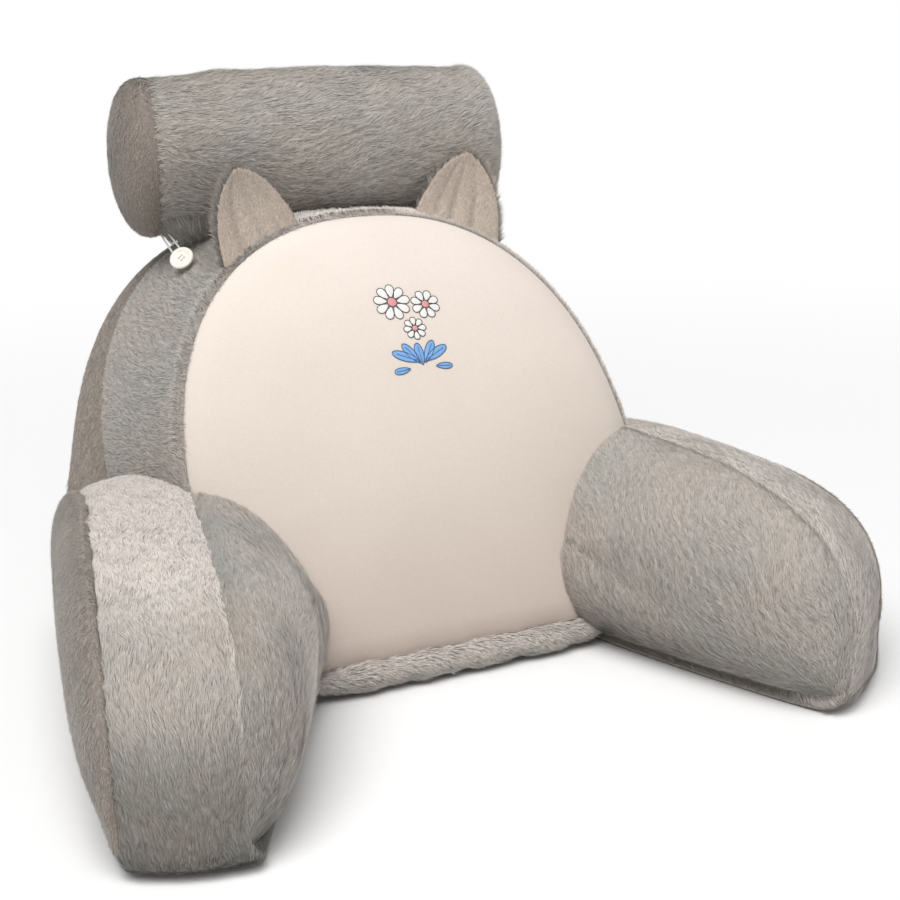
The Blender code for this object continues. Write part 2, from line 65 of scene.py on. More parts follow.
SEAM_DIP, SEAM_REACH = 0.0028, 0.007  # it is drawn in further along a seam
LONG_HAIR, SHORT_HAIR = (0.0092, 0.00095), (0.0042, 0.0008)  # length and width
HAIR_SWAY = ((0.34, 0.07), (0.26, 0.015))  # how far hairs turn aside, and over what size of wave
LOCK_SIZE, PLAIN_TONE = 0.0065, 0.28
LOCK_TONE, HAIR_TONE = 0.18, 0.13  # how far the tone differs from lock to lock and hair to hair
DARKEST = (0.32, 0.33, 0.325)  # what the colour of the darkest hair is multiplied by


def outline(count, middle, reach, powers):
    """Closed outline of four superellipse quarters, its points evenly spaced along it.

    Each quarter is reach * (|cos t|^(2/p), |sin t|^(2/p)). reach is (right, up, left, down)
    and powers has one p for each quarter, anticlockwise from the upper right.
    """
    t = np.linspace(0.0, math.pi / 2, 400)
    quarters = []
    for quarter, (across, along) in enumerate(((0, 1), (2, 1), (2, 3), (0, 3))):
        sign = ((1, 1), (-1, 1), (-1, -1), (1, -1))[quarter]
        power = 2.0 / powers[quarter]
        x = middle[0] + sign[0] * reach[across] * np.abs(np.cos(t)) ** power
        y = middle[1] + sign[1] * reach[along] * np.abs(np.sin(t)) ** power
        points = np.stack([x, y], 1)
        quarters.append(points if quarter % 2 == 0 else points[::-1])
    line = np.concatenate(quarters + [quarters[0][:1]])
    travelled = np.concatenate([[0.0], np.cumsum(np.linalg.norm(np.diff(line, axis=0), axis=1))])
    wanted = np.linspace(0.0, travelled[-1], count, endpoint=False)
    return np.stack([np.interp(wanted, travelled, line[:, k]) for k in range(2)], 1)


def dome(rim, middle, towards, crown, lifted, swell, count):
    """Rings from a rim to near a middle, at even angles a up to a right angle.

    A ring is middle + cos a * (1 + swell * sin a) * (rim - middle), raised by
    crown * (sin a)^p, where p is 1 high up and 2 near the floor.
    """
    a = (0.5 * math.pi * np.arange(1, count + 1) / (count + 0.5)).reshape(-1, 1, 1)
    lifted = np.asarray(lifted, float).reshape(1, -1, 1)
    swell = np.asarray(swell, float).reshape(1, -1, 1) * lifted
    ratio = np.cos(a) * (1.0 + swell * np.sin(a))
    rise = crown * np.sin(a) ** (2.0 - lifted)
    return middle + ratio * (rim - middle) + rise * np.asarray(towards)


def lift_seams(rings, first, last):
    """Rings kept off the floor: z is at least 0, and hypot(z, lift) along the two seams."""
    rings = np.array(rings)
    rings[..., 2] = np.maximum(rings[..., 2], 0.0)
    rings[0, :, 2] = np.hypot(rings[0, :, 2], first)
    rings[-1, :, 2] = np.hypot(rings[-1, :, 2], last)
    return rings


def full_turn(count):
    """Even angles once round, the first at 0."""
    return np.linspace(0.0, 2 * math.pi, count, endpoint=False)


def unit(vectors):
    """Vectors divided by their lengths."""
    return vectors / np.maximum(np.linalg.norm(vectors, axis=-1, keepdims=True), 1e-12)


def outward(rings, towards=None):
    """Unit normals of rings closed around: the cross product of the two grid directions.

    They are turned to face away from the rings' middle, or along towards if it is given.
    """
    around = np.roll(rings, -1, axis=1) - np.roll(rings, 1, axis=1)
    along = np.gradient(rings, axis=0)
    normal = unit(np.cross(along, around))
    facing = rings - rings.mean((0, 1)) if towards is None else np.asarray(towards)
    return normal if np.sum(normal * facing) > 0 else -normal


def ripple(points, size, seed):
    """Smooth noise from -1 to 1: the mean of nine sine waves in seeded directions."""
    rng = np.random.default_rng(seed)
    waves = rng.normal(size=(3, 9))
    waves *= rng.uniform(0.6, 1.6, 9) * 2.0 * math.pi / (size * np.linalg.norm(waves, axis=0))
    return np.sin(points @ waves + rng.uniform(0.0, 2 * math.pi, 9)).mean(-1) * 2.2


def ease(value):
    """0 below 0, 1 above 1, and 3v^2 - 2v^3 between."""
    value = np.clip(value, 0.0, 1.0)
    return value * value * (3.0 - 2.0 * value)


def put(name, data):
    """A new object in the scene, at the origin."""
    thing = bpy.data.objects.new(name, data)
    bpy.context.scene.collection.objects.link(thing)
    return thing


def stand(name, mesh, finish):
    """A mesh as a piece of one finish, riding on the pillow's one body."""
    mesh.materials.append(finish)
    piece = put(name, mesh)
    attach(piece, "root")
    return piece


def shell(name, skins, finish, node=None):
    """One mesh of closed skins, each of rings of equal count with a pole at either end.

    Squares join the rings and triangles join the poles, wound so that they face outwards. node is the
    solid that the piece replaces.
    """
    points, faces, start = [], [], 0
    for rings, poles in skins:
        total, count = rings.shape[:2]
        points += [rings.reshape(-1, 3), np.array(poles, float).reshape(-1, 3)]
        i = np.arange(count)
        j = (i + 1) % count
        k = (np.arange(total - 1) * count)[:, None]
        squares = np.stack([k + i, k + count + i, k + count + j, k + j], 2).reshape(-1, 4)
        end = (total - 1) * count
        fans = np.concatenate([
            np.stack([np.full(count, total * count), i, j], 1),
            np.stack([np.full(count, total * count + 1), end + j, end + i], 1),
        ])
        across = np.roll(rings, -1, 1) - rings
        if np.sum(outward(rings) * np.cross(np.gradient(rings, axis=0), across)) < 0:
            squares, fans = squares[:, ::-1], fans[:, ::-1]
        faces += (squares + start).tolist() + (fans + start).tolist()
        start += total * count + 2
    mesh = bpy.data.meshes.new(name)
    mesh.from_pydata(np.concatenate(points).tolist(), [], faces)
    mesh.shade_smooth()
    piece = stand(name, mesh, finish)
    if node:
        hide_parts(node)
    return piece


def pile(name, rings, nap, finish, hair, count, rise, seed, bare=None, facing=None, paler_and_painted_light=0.0, lit=0.0):
    """Hairs on a skin, each a narrow triangle from a root on the skin to a tip.

    Roots are spread evenly over the skin's area. A tip is root + length * (cos r * nap +
    sin r * normal), with nap laid in the skin and turned by two sizes of ripple, and r about
    rise. Locks, drawn out along the nap, differ in length and rise. bare says where there are
    none, by place or by column. The attribute along is 0 at the root and 1 at the tip. The
    attribute tone differs from lock to lock, from -1 for dark to 1 for light, with paler added,
    which is a number or differs by place. lit is added to the shading normals.
    """
    rng = np.random.default_rng(seed)
    rings = np.concatenate([rings, rings[:, :1]], 1)
    normal = outward(rings[:, :-1], facing)
    normal = np.concatenate([normal, normal[:, :1]], 1)
    a, b, c, d = rings[:-1, :-1], rings[1:, :-1], rings[1:, 1:], rings[:-1, 1:]
    area = np.linalg.norm(np.cross(c - a, d - b), axis=2).ravel()
    if bare is not None:
        hidden = bare(0.25 * (a + b + c + d).reshape(-1, 3)) if callable(bare) else np.tile(bare, len(a))
        area = area * ~hidden
    cell = rng.choice(area.size, count, p=area / area.sum())
    row, column = np.divmod(cell, rings.shape[1] - 1)
    u, v = rng.random((2, count, 1))

    def between(grid):
        """The grid's values at the roots, v along and u across each root's square."""
        low = (1 - v) * grid[row, column] + v * grid[row, column + 1]
        return (1 - u) * low + u * ((1 - v) * grid[row + 1, column] + v * grid[row + 1, column + 1])

    root, normal = between(rings), unit(between(normal))
    lie = np.broadcast_to(nap(root) if callable(nap) else nap, root.shape)
    lie = unit(lie - np.sum(lie * normal, 1, keepdims=True) * normal)
    drawn = root - 0.6 * np.sum(root * lie, 1, keepdims=True) * lie
    lock = ripple(drawn, LOCK_SIZE, seed + 2)
    side = np.cross(normal, lie)
    turn = sum(sway * ripple(root, size, seed + k) for k, (sway, size) in enumerate(HAIR_SWAY))
    turn = (turn + rng.normal(0.0, 0.11, count))[:, None]
    lie, side = np.cos(turn) * lie + np.sin(turn) * side, np.cos(turn) * side - np.sin(turn) * lie
    up = np.maximum(rise * (1.0 + 0.4 * lock + rng.normal(0.0, 0.35, count)), 0.03)[:, None]
    reach = (hair[0] * (1.0 + 0.15 * lock) * rng.uniform(0.75, 1.15, count))[:, None]
    tip = root + reach * (np.cos(up) * lie + np.sin(up) * normal)
    half = (0.5 * hair[1] * rng.uniform(0.7, 1.3, count))[:, None]
    points = np.stack([root + half * side, root - half * side, tip], 1).reshape(-1, 3)
    points[:, 2] = np.maximum(points[:, 2], 0.0004)
    mesh = bpy.data.meshes.new(name)
    mesh.vertices.add(3 * count)
    mesh.loops.add(3 * count)
    mesh.polygons.add(count)
    mesh.vertices.foreach_set("co", points.ravel())
    mesh.loops.foreach_set("vertex_index", np.arange(3 * count))
    mesh.polygons.foreach_set("loop_start", np.arange(0, 3 * count, 3))
    mesh.update(calc_edges=True)
    facet = np.cross(points[1::3] - points[0::3], points[2::3] - points[0::3])
    if np.sum(facet * normal) < 0:
        mesh.flip_normals()
    stray = rng.normal(size=(count, 1)) * lie + rng.normal(size=(count, 1)) * side
    mesh.shade_smooth()
    mesh.normals_split_custom_set_from_vertices(np.repeat(unit(normal + lit + 0.2 * stray), 3, axis=0))
    # Where it is given by place, the tone carries painted light and shade on top of the hairs' own tone.
    tone = PLAIN_TONE + LOCK_TONE * lock + HAIR_TONE * rng.normal(size=count)
    tone = np.clip(tone + (paler_and_painted_light(root) if callable(paler_and_painted_light) else paler_and_painted_light), -1.0, 1.0)
    for attribute, values in (("along", np.tile([0.0, 0.0, 1.0], count)), ("tone", np.repeat(tone, 3))):
        mesh.attributes.new(attribute, "FLOAT", "POINT").data.foreach_set("value", values)
    return stand(name, mesh, finish)


def feed(tree, node, inputs):
    """Sets each input, by name or number, to a value, or links another node's output to it."""
    for socket, value in inputs.items():
        if isinstance(value, bpy.types.NodeSocket):
            tree.links.new(value, node.inputs[socket])
        else:
            node.inputs[socket].default_value = value


def add(tree, kind, inputs=None, **settings):
    """A new shader node, with its settings made before its inputs are fed."""
    node = tree.nodes.new("ShaderNode" + kind)
    for setting, value in settings.items():
        setattr(node, setting, value)
    feed(tree, node, inputs or {})
    return node


def ramp(tree, factor, *stops):
    """The colour of a ramp through (position, colour) stops, its first and last given first."""
    node = add(tree, "ValToRGB", {"Fac": factor})
    elements = node.color_ramp.elements
    for k, (position, colour) in enumerate(stops):
        element = elements[k] if k < 2 else elements.new(position)
        element.position, element.color = position, (*colour, 1)
    return node.outputs["Color"]


def mixed(tree, factor, first, second, blend="MIX"):
    """The colour of a mix of two colours, each given or another node's output."""
    inputs = {"Factor": factor, "A": first, "B": second}
    return add(tree, "Mix", inputs, data_type="RGBA", blend_type=blend).outputs["Result"]


def new_finish(name, slot, roughness, specular, sheen):
    """A material and its node tree. slot is not used."""
    finish = bpy.data.materials.new(name)
    finish.use_nodes = True
    feed(finish.node_tree, finish.node_tree.nodes["Principled BSDF"], {
        "Roughness": roughness, "Specular IOR Level": specular, "Sheen Weight": sheen,
    })
    return finish, finish.node_tree


def pile_finish(name, slot, root, warm, cool, light):
    """Hair: dark at the root, as painted shade deep in the pile, light at the tip, warm and cool in broad
    clouds and by lock.
    """
    finish, tree = new_finish(name, slot, 0.7, 0.25, 0.2)
    place = add(tree, "TexCoord").outputs["Object"]
    cloud = add(tree, "TexNoise", {"Vector": place, "Scale": 14.0, "Detail": 3.0})
    hue = ramp(tree, cloud.outputs["Fac"], (0.38, cool), (0.62, warm))
    tone = add(tree, "Attribute", attribute_name="tone").outputs["Fac"]
    below = add(tree, "Math", {0: tone, 1: -1.0}, operation="MULTIPLY")
    paler_and_painted_light = mixed(tree, tone, hue, (*light, 1))
    darker = mixed(tree, below.outputs[0], paler_and_painted_light, (*DARKEST, 1), "MULTIPLY")
    along = add(tree, "Attribute", attribute_name="along").outputs["Fac"]
    tipward = ramp(tree, along, (0.0, (0, 0, 0)), (0.75, (1, 1, 1)))
    feed(tree, tree.nodes["Principled BSDF"], {
        "Sheen Roughness": 0.5, "Base Color": mixed(tree, tipward, (*root, 1), darker),
    })
    return finish


def ground_finish(name, slot, dark, light, size, depth, gloss=(0.9, 0.15, 0.3)):
    """Cloth under a pile: a mottle of two colours with bumps of one size.

    gloss is its roughness, specular level and sheen.
    """
    finish, tree = new_finish(name, slot, *gloss)
    place = add(tree, "TexCoord").outputs["Object"]
    grain = add(tree, "TexNoise", {"Vector": place, "Scale": 1.0 / size, "Detail": 5.0}).outputs["Fac"]
    bump = add(tree, "Bump", {"Strength": 0.6, "Distance": depth, "Height": grain})
    feed(tree, tree.nodes["Principled BSDF"], {
        "Base Color": ramp(tree, grain, (0.3, dark), (0.7, light)), "Normal": bump.outputs["Normal"],
    })
    return finish


LONG_PILE = pile_finish(
    "long_grey_pile", "grey_fur",
    (0.22, 0.205, 0.185), (0.44, 0.387, 0.337), (0.372, 0.368, 0.338), (0.81, 0.735, 0.68),
)
FUR_GROUND = ground_finish(
    "grey_fur_ground", "grey_fur", (0.19, 0.178, 0.162), (0.32, 0.30, 0.275),
    size=0.004, depth=0.002,
)

panel_loop = outline(
    BACK_ROUND, (0.0, SHOULDER),
    (PANEL_HALF_WIDTH, PANEL_HEIGHT - SHOULDER, PANEL_HALF_WIDTH, SHOULDER),
    (DOME_POWER, DOME_POWER, FOOT_POWER, FOOT_POWER),
)
front_seam = PANEL_FOOT + np.outer(panel_loop[:, 0], (1, 0, 0)) + np.outer(panel_loop[:, 1], UP_SLOPE)
away = unit((panel_loop - (0.0, SHOULDER)) / (PANEL_HALF_WIDTH, PANEL_HEIGHT - SHOULDER))
sideways = np.outer(away[:, 0], (1, 0, 0)) + np.outer(away[:, 1], UP_SLOPE)
near_floor = np.clip(1.0 - panel_loop[:, 1] / NEAR_FLOOR, 0.0, 1.0)
crest = CREST_PUFF * ease((panel_loop[:, 1] - CREST_FROM) / CREST_FADE)


def gusset_rings(shares, inset):
    """The gusset at shares of its depth: the front seam moved back, flared and bulged.

    The bulge is crown * sin(pi s)^0.7, with a rim of e * puff * (s / r) * exp(-s / r) behind
    the front seam, less an inset that fades out there and deepens along the rear seam.
    """
    rings = []
    for share in shares:
        drawn_in = SEAM_DIP * math.exp(-(((1.0 - share) * GUSSET_SHIFT[1] / SEAM_REACH) ** 2))
        bulge = (GUSSET_CROWN + crest) * math.sin(math.pi * share) ** GUSSET_ROUND
        bulge -= inset * min(1.0, share / 0.06)
        bulge += RIM_PUFF * (1.0 - near_floor) * share / RIM_SHARE * math.exp(1.0 - share / RIM_SHARE)
        off = GUSSET_FLARE * share * np.abs(away[:, :1]) + bulge[:, None] - drawn_in
        ring = front_seam + share * GUSSET_SHIFT + sideways * off
        ring[:, 2] -= near_floor * (PANEL_FOOT[2] + 0.004) * min(1.0, share / 0.1)
        rings.append(ring)
    return lift_seams(rings, SEAM_LIFT, SEAM_LIFT)


gusset = gusset_rings(np.linspace(0.0, 1.0, 41) ** 1.3, PILE_DEPTH)
panel_middle = PANEL_FOOT + SHOULDER * UP_SLOPE
rear_middle = panel_middle + GUSSET_SHIFT
back_lifted = np.clip((panel_loop[:, 1] - 0.02) / 0.12, 0.0, 1.0)
back_height = np.clip((panel_loop[:, 1] - SHOULDER) / (PANEL_HEIGHT - SHOULDER), 0.0, 1.0)
back_swell = BACK_SWELL * (1.0 - 0.9 * back_height**0.7)
front_dome = dome(gusset[0], panel_middle, OUT_OF_PANEL, FRONT_CROWN, back_lifted, 0.0, 36)
rear_dome = dome(gusset[-1], rear_middle, TO_REAR, BACK_CROWN, back_lifted, back_swell, 40)
front_peak = panel_middle + FRONT_CROWN * OUT_OF_PANEL
rear_peak = rear_middle + BACK_CROWN * TO_REAR
back_rings = np.concatenate([front_dome[1::3][::-1], gusset[::2], rear_dome[1::3]])[:, ::2]
shell("back_pad", [(back_rings, (front_peak, rear_peak))], FUR_GROUND, "back_cushion")


def gusset_painted_light(root):
    """Lighter in the rim on the right and on the crest, as painted light, and darker outside the ears, as
    painted shade.
    """
    behind = root[:, 1] - PANEL_FOOT[1] - (root[:, 2] - PANEL_FOOT[2]) * math.tan(LEAN)
    rim = 0.6 * ease(root[:, 0] / 0.15) * ease(1.5 - behind / 0.02)
    crest_light = 0.6 * ease((0.09 - np.abs(root[:, 0])) / 0.03) * ease((root[:, 2] - 0.40) / 0.015)
    beside = 0.5 * ease((np.abs(root[:, 0]) - 0.09) / 0.04) * ease((root[:, 2] - 0.365) / 0.04)
    return rim + crest_light - beside


pile(
    "gusset_pile", gusset, TO_REAR, LONG_PILE, LONG_HAIR, count=125000, rise=0.2, seed=11,
    bare=lambda root: root[:, 2] < 0.004, paler_and_painted_light=gusset_painted_light,
)

# ---- Velvet front panel ----
# The sitter's back leans on one piece of cream short velvet, cut to the dome outline and sewn
# to the gusset with its edge turned in. It is stretched by the filling.
SHEET_RISE, UNDERSIDE = 0.0036, 0.0006  # the velvet's face and underside above the filling
ACROSS = np.array([1.0, 0.0, 0.0])


def skin_on(name, rim, rings, peak, towards, rise, tuck, finish, step, node):
    """A skin sewn on over a pad's dome. Gives its outer face.

    Its face is the dome's rings raised by rise, which fades over a tuck from the seam. Its underside lies
    just off the filling, on every step-th ring, as its pad's do. It adds up the length of each arc over
    the dome but does not use it.
    """
    grid = np.concatenate([rim[None], rings])
    normal = outward(grid, towards)
    normal[0] = normal[1]
    walk = np.cumsum(np.linalg.norm(np.diff(grid, axis=0, prepend=grid[:1]), axis=2), 0)
    top = grid + (rise * ease(walk / tuck + 0.12))[..., None] * normal
    top[..., 2] = np.maximum(top[..., 2], 0.001)
    under = grid + UNDERSIDE * ease(walk / tuck)[..., None] * normal
    poles = (peak + UNDERSIDE * np.asarray(towards), peak + rise * np.asarray(towards))
    skin = np.concatenate([under[2::step][::-1], under[:1], top[1:]])[:, ::2]
    piece = shell(name, [(skin, poles)], finish, node)
    inwards = np.linalg.norm(np.diff(top, axis=0), axis=2).sum(0)
    inwards = inwards + np.linalg.norm(top[-1] - top[-1].mean(0), axis=1)
    return top


VELVET = ground_finish("cream_velvet", "cream_velvet", (0.945,) * 3, (1.0,) * 3, size=0.0022, depth=0.0004)
tree = VELVET.node_tree
place = tree.nodes["Texture Coordinate"].outputs["Object"]
height = add(tree, "SeparateXYZ", {"Vector": place})
shade = ramp(  # painted shade: darker lower down, where less light falls
    tree, height.outputs["Z"],
    (0.02, (0.515, 0.43, 0.375)), (0.42, (0.79, 0.70, 0.635)), (0.2, (0.65, 0.57, 0.505)),
)
cloud = add(tree, "TexNoise", {"Vector": place, "Scale": 9.0})
patches = ramp(tree, cloud.outputs["Fac"], (0.0, (0.95,) * 3), (1.0, (1.05,) * 3))
colour = mixed(tree, 1.0, tree.nodes["Color Ramp"].outputs["Color"], shade, "MULTIPLY")
colour = mixed(tree, 1.0, colour, patches, "MULTIPLY")
feed(tree, tree.nodes["Principled BSDF"], {"Base Color": colour})
skin_on(
    "front_velvet", gusset[0], front_dome, front_peak, OUT_OF_PANEL, SHEET_RISE, 0.03, VELVET,
    step=3, node="front_panel",
)

# ---- Embroidery ----
# A small sprig high on the velvet, off its middle: three daisies in white satin stitch with
# pink eyes, over sky-blue leaves, each shape edged with one dark thread.
DAISIES = (  # place across, up the slope, radius, petals, turn
    (0.002, 0.358, 0.0200, 9, 0.10),
    (0.038, 0.352, 0.0160, 8, 0.35),
    (0.0190, 0.3265, 0.0125, 8, 0.0),
)
LEAVES = (  # place across, up the slope, length, width, turn
    (0.014, 0.290, 0.030, 0.0105, 2.70),
    (0.015, 0.288, 0.027, 0.0100, 2.15),
    (0.017, 0.286, 0.024, 0.0095, 1.62),
    (0.020, 0.288, 0.027, 0.0100, 1.02),
    (0.021, 0.290, 0.030, 0.0105, 0.48),
    (0.002, 0.283, 0.018, 0.0075, 3.25),
    (0.031, 0.283, 0.018, 0.0075, -0.08),
)
EYE_SHARE, STITCH_FOOT, EDGE_THREAD, VEIN_THREAD = 0.27, -0.0006, 0.00042, 0.0003


def thread_finish(name, slot, colour, shade):
    """Satin stitch: glossy rayon in rows of fine threads, by a banded wave and its bump."""
    finish, tree = new_finish(name, slot, 0.42, 0.5, 0.15)
    place = add(tree, "TexCoord").outputs["Object"]
    rows = add(
        tree, "TexWave", {"Vector": place, "Scale": 520.0, "Distortion": 0.6}, bands_direction="DIAGONAL"
    ).outputs["Fac"]
    bump = add(tree, "Bump", {"Strength": 0.5, "Distance": 0.0003, "Height": rows})
    feed(tree, tree.nodes["Principled BSDF"], {
        "Base Color": ramp(tree, rows, (0.0, shade), (1.0, colour)), "Normal": bump.outputs["Normal"],
    })
    return finish


def on_velvet(x, slope, rise):
    """Points off the velvet: its crown is crown * sqrt(1 - r^2), r the superellipse distance."""
    r = np.abs(x / PANEL_HALF_WIDTH) ** DOME_POWER
    r = (r + np.abs((slope - SHOULDER) / (PANEL_HEIGHT - SHOULDER)) ** DOME_POWER) ** (1 / DOME_POWER)
    crown = FRONT_CROWN * np.sqrt(np.clip(1.0 - r**2, 0.0, 1.0)) + SHEET_RISE + rise
    across, up = np.asarray(x)[..., None], np.asarray(slope)[..., None]
    return PANEL_FOOT + across * ACROSS + up * UP_SLOPE + crown[..., None] * OUT_OF_PANEL


def leaf_edge(x, slope, length, width, turn, count, pointed):
    """A petal's or leaf's edge: along (1 - cos t) / 2, across sin t, narrowed to its foot."""
    t = full_turn(count)
    along = length * 0.5 * (1.0 - np.cos(t))
    across = 0.5 * width * np.sin(t) * (along / length) ** pointed * (1.0 + 0.35 * pointed)
    cos, sin = math.cos(turn), math.sin(turn)
    return x + along * cos - across * sin, slope + along * sin + across * cos


def satin(edge, height):
    """A raised stitched shape: rings that shrink to its middle over a low dome."""
    a = np.linspace(0.0, 0.5 * math.pi, 6)[:-1]
    middle = [np.mean(part) for part in edge]
    sizes = np.concatenate([[1.0], np.cos(a)])
    rises = np.concatenate([[STITCH_FOOT], height * (0.3 + 0.7 * np.sin(a))])
    rings = np.stack([
        on_velvet(*(m + size * (part - m) for m, part in zip(middle, edge)), rise)
        for size, rise in zip(sizes, rises)
    ])
    return rings, [on_velvet(*np.array(middle), rise) for rise in (STITCH_FOOT, height)]


def strand(line, radius, sides=6):
    """A thread along a line: a circle of points carried along it, and its two ends."""
    along = unit(np.gradient(line, axis=0))
    across = unit(np.cross(along, (0.31, 0.2, 0.93)))
    turn = full_turn(sides)[:, None]
    ring = np.cos(turn) * across[:, None] + np.sin(turn) * np.cross(along, across)[:, None]
    return line[:, None] + radius * ring, (line[0], line[-1])


def edging(edge, rise, radius):
    """A thread laid round a stitched shape and past its start."""
    return strand(on_velvet(*(np.append(part, part[:2]) for part in edge), rise), radius)


petals, eyes, leaves, dark_edges, blue_edges = [], [], [], [], []
for x, slope, radius, count, turn in DAISIES:
    for angle in turn + 2 * math.pi * np.arange(count) / count:
        foot = (x + 0.22 * radius * math.cos(angle), slope + 0.22 * radius * math.sin(angle))
        edge = leaf_edge(*foot, 0.78 * radius, 4.6 * radius / count, angle, count=20, pointed=0.5)
        petals.append(satin(edge, 0.0009))
        dark_edges.append(edging(edge, 0.0006, EDGE_THREAD))
    t = full_turn(18)
    eye = (x + EYE_SHARE * radius * np.cos(t), slope + EYE_SHARE * radius * np.sin(t))
    eyes.append(satin(eye, 0.0014))
    dark_edges.append(edging(eye, 0.0009, 0.00038))
for x, slope, length, width, turn in LEAVES:
    edge = leaf_edge(x, slope, length, width, turn, count=28, pointed=0.25)
    leaves.append(satin(edge, 0.0008))
    blue_edges.append(edging(edge, 0.0006, EDGE_THREAD))
    vein = np.linspace(0.1, 0.85, 10) * length
    vein = on_velvet(x + vein * math.cos(turn), slope + vein * math.sin(turn), 0.0010)
    blue_edges.append(strand(vein, VEIN_THREAD))
for name, skins, colour, shade in (
    ("daisy_petals", petals, (0.90, 0.88, 0.85), (0.78, 0.76, 0.73)),
    ("daisy_eyes", eyes, (0.80, 0.36, 0.37), (0.66, 0.27, 0.28)),
    ("sprig_leaves", leaves, (0.24, 0.46, 0.80), (0.16, 0.35, 0.68)),
    ("daisy_edges", dark_edges, (0.075, 0.07, 0.075), (0.045, 0.042, 0.045)),
    ("leaf_edges", blue_edges, (0.055, 0.115, 0.26), (0.035, 0.08, 0.19)),
):
    shell(name, skins, thread_finish(name + "_thread", "cream_velvet", colour, shade))

# ---- Plush back panel ----
# The rear is closed by one piece of taupe short plush, sewn to the gusset's rear edge and
# pushed out by the filling. Its short pile is brushed down.
PLUSH_RISE, SEAM_TUCK = SHEET_RISE - 0.0015, 0.012
SHORT_PILE = pile_finish(
    "taupe_short_pile", "taupe_plush",
    (0.20, 0.172, 0.148), (0.36, 0.30, 0.25), (0.315, 0.277, 0.238), (0.57, 0.49, 0.425),
)
PLUSH_GROUND = ground_finish(
    "taupe_plush_ground", "taupe_plush", (0.19, 0.165, 0.143), (0.31, 0.27, 0.235),
    size=0.003, depth=0.001,
)
DOWN = np.array([0.0, 0.0, -1.0])
plush_face = skin_on(
    "back_plush", gusset[-1], rear_dome, rear_peak, TO_REAR, PLUSH_RISE, SEAM_TUCK,
    PLUSH_GROUND, step=3, node="back_panel",
)
pile(
    "back_pile", plush_face, DOWN, SHORT_PILE, SHORT_HAIR, count=68000, rise=0.3, seed=21,
    facing=TO_REAR,
)

# ---- Arms ----
# Each arm is a stuffed bag of three pieces: a panel of long pile facing the seat, a band of
# long pile over the top and down the front, and a panel of short plush outside. The band
# rolls out under the inner panel along the floor.
ARM_ROOT, ARM_BAND, ARM_BEHIND = (0.241, 0.002, 0.201), 0.096, 0.085
ARM_MIDDLE, OUTER_HEIGHT, FUR_RISE = (0.05, 0.06), 0.115, 0.001
ARM_BAND_CROWN, ARM_SWELL, BAND_NARROWING = 0.007, 0.10, 0.3
FOOT_ROLL, FOOT_ROLL_LIFT, FOOT_ROLL_SHARE = 0.007, 0.014, 0.12  # the roll's share of the band
BELLY_PLACE, BELLY_SHARE = 0.09, 0.24  # along the arm, in metres and as a share of its reach
ARMS = {  # the left one is splayed and puffed out more, and the right one's tip slants back more
    "left": {
        "reach": 0.388, "splay": math.radians(11.7), "top_power": 2.7, "inner_crown": 0.083,
        "outer_crown": 0.036, "band_drop": 0.005, "foot_inset": 0.104, "tip_inset": 0.002,
        "foot_bow": 0.0, "tip_setback": 0.015, "belly": 0.017, "belly_height": 0.118,
        "hairs": {"band": 70000, "inner": 78000, "outer": 36000},
    },
    "right": {
        "reach": 0.380, "splay": math.radians(3.9), "top_power": 2.75, "inner_crown": 0.105,
        "outer_crown": 0.016, "band_drop": 0.028, "foot_inset": 0.108, "tip_inset": 0.016,
        "foot_bow": 0.007, "tip_setback": 0.076, "belly": 0.018, "belly_height": 0.105,
        "hairs": {"band": 45000, "inner": 95000, "outer": 28000},
    },
}


def unseen(points):
    """Whether points are under the arm or inside the back: between its seams and within its outline."""
    depth = (points - PANEL_FOOT) @ OUT_OF_PANEL / (GUSSET_SHIFT @ OUT_OF_PANEL)
    level = points - PANEL_FOOT - depth[:, None] * GUSSET_SHIFT
    half = PANEL_HALF_WIDTH + GUSSET_FLARE * np.clip(depth, 0.0, 1.0)
    above = np.maximum(level @ UP_SLOPE - SHOULDER, 0.0) / (PANEL_HEIGHT - SHOULDER)
    gauge = (np.abs(points[:, 0] / half) ** DOME_POWER + above**DOME_POWER) ** (1 / DOME_POWER)
    return (depth > -0.01) & (depth < 1.1) & (gauge < 0.96) | (points[:, 2] < 0.003)


def relax(rim, rings, peak, times):
    """Rings moved half way to the mean of their four neighbours, over and over.

    The rim and the peak hold, so that the skin comes as smooth as stretched cloth.
    """
    grid = np.concatenate([rim[None], rings, np.broadcast_to(peak, rim.shape)[None]])
    for _ in range(times):
        mean = 0.25 * (np.roll(grid, 1, 1) + np.roll(grid, -1, 1))[1:-1] + 0.25 * (grid[:-2] + grid[2:])
        grid[1:-1] = 0.5 * (grid[1:-1] + mean)
    return grid[1:-1]


def foot_inset(arm, share):
    """How much nearer the seat the inner seam's foot lies: evenly less to the tip, and bowed."""
    even = arm["foot_inset"] + (arm["tip_inset"] - arm["foot_inset"]) * share
    return even + arm["foot_bow"] * np.sin(math.pi * share)


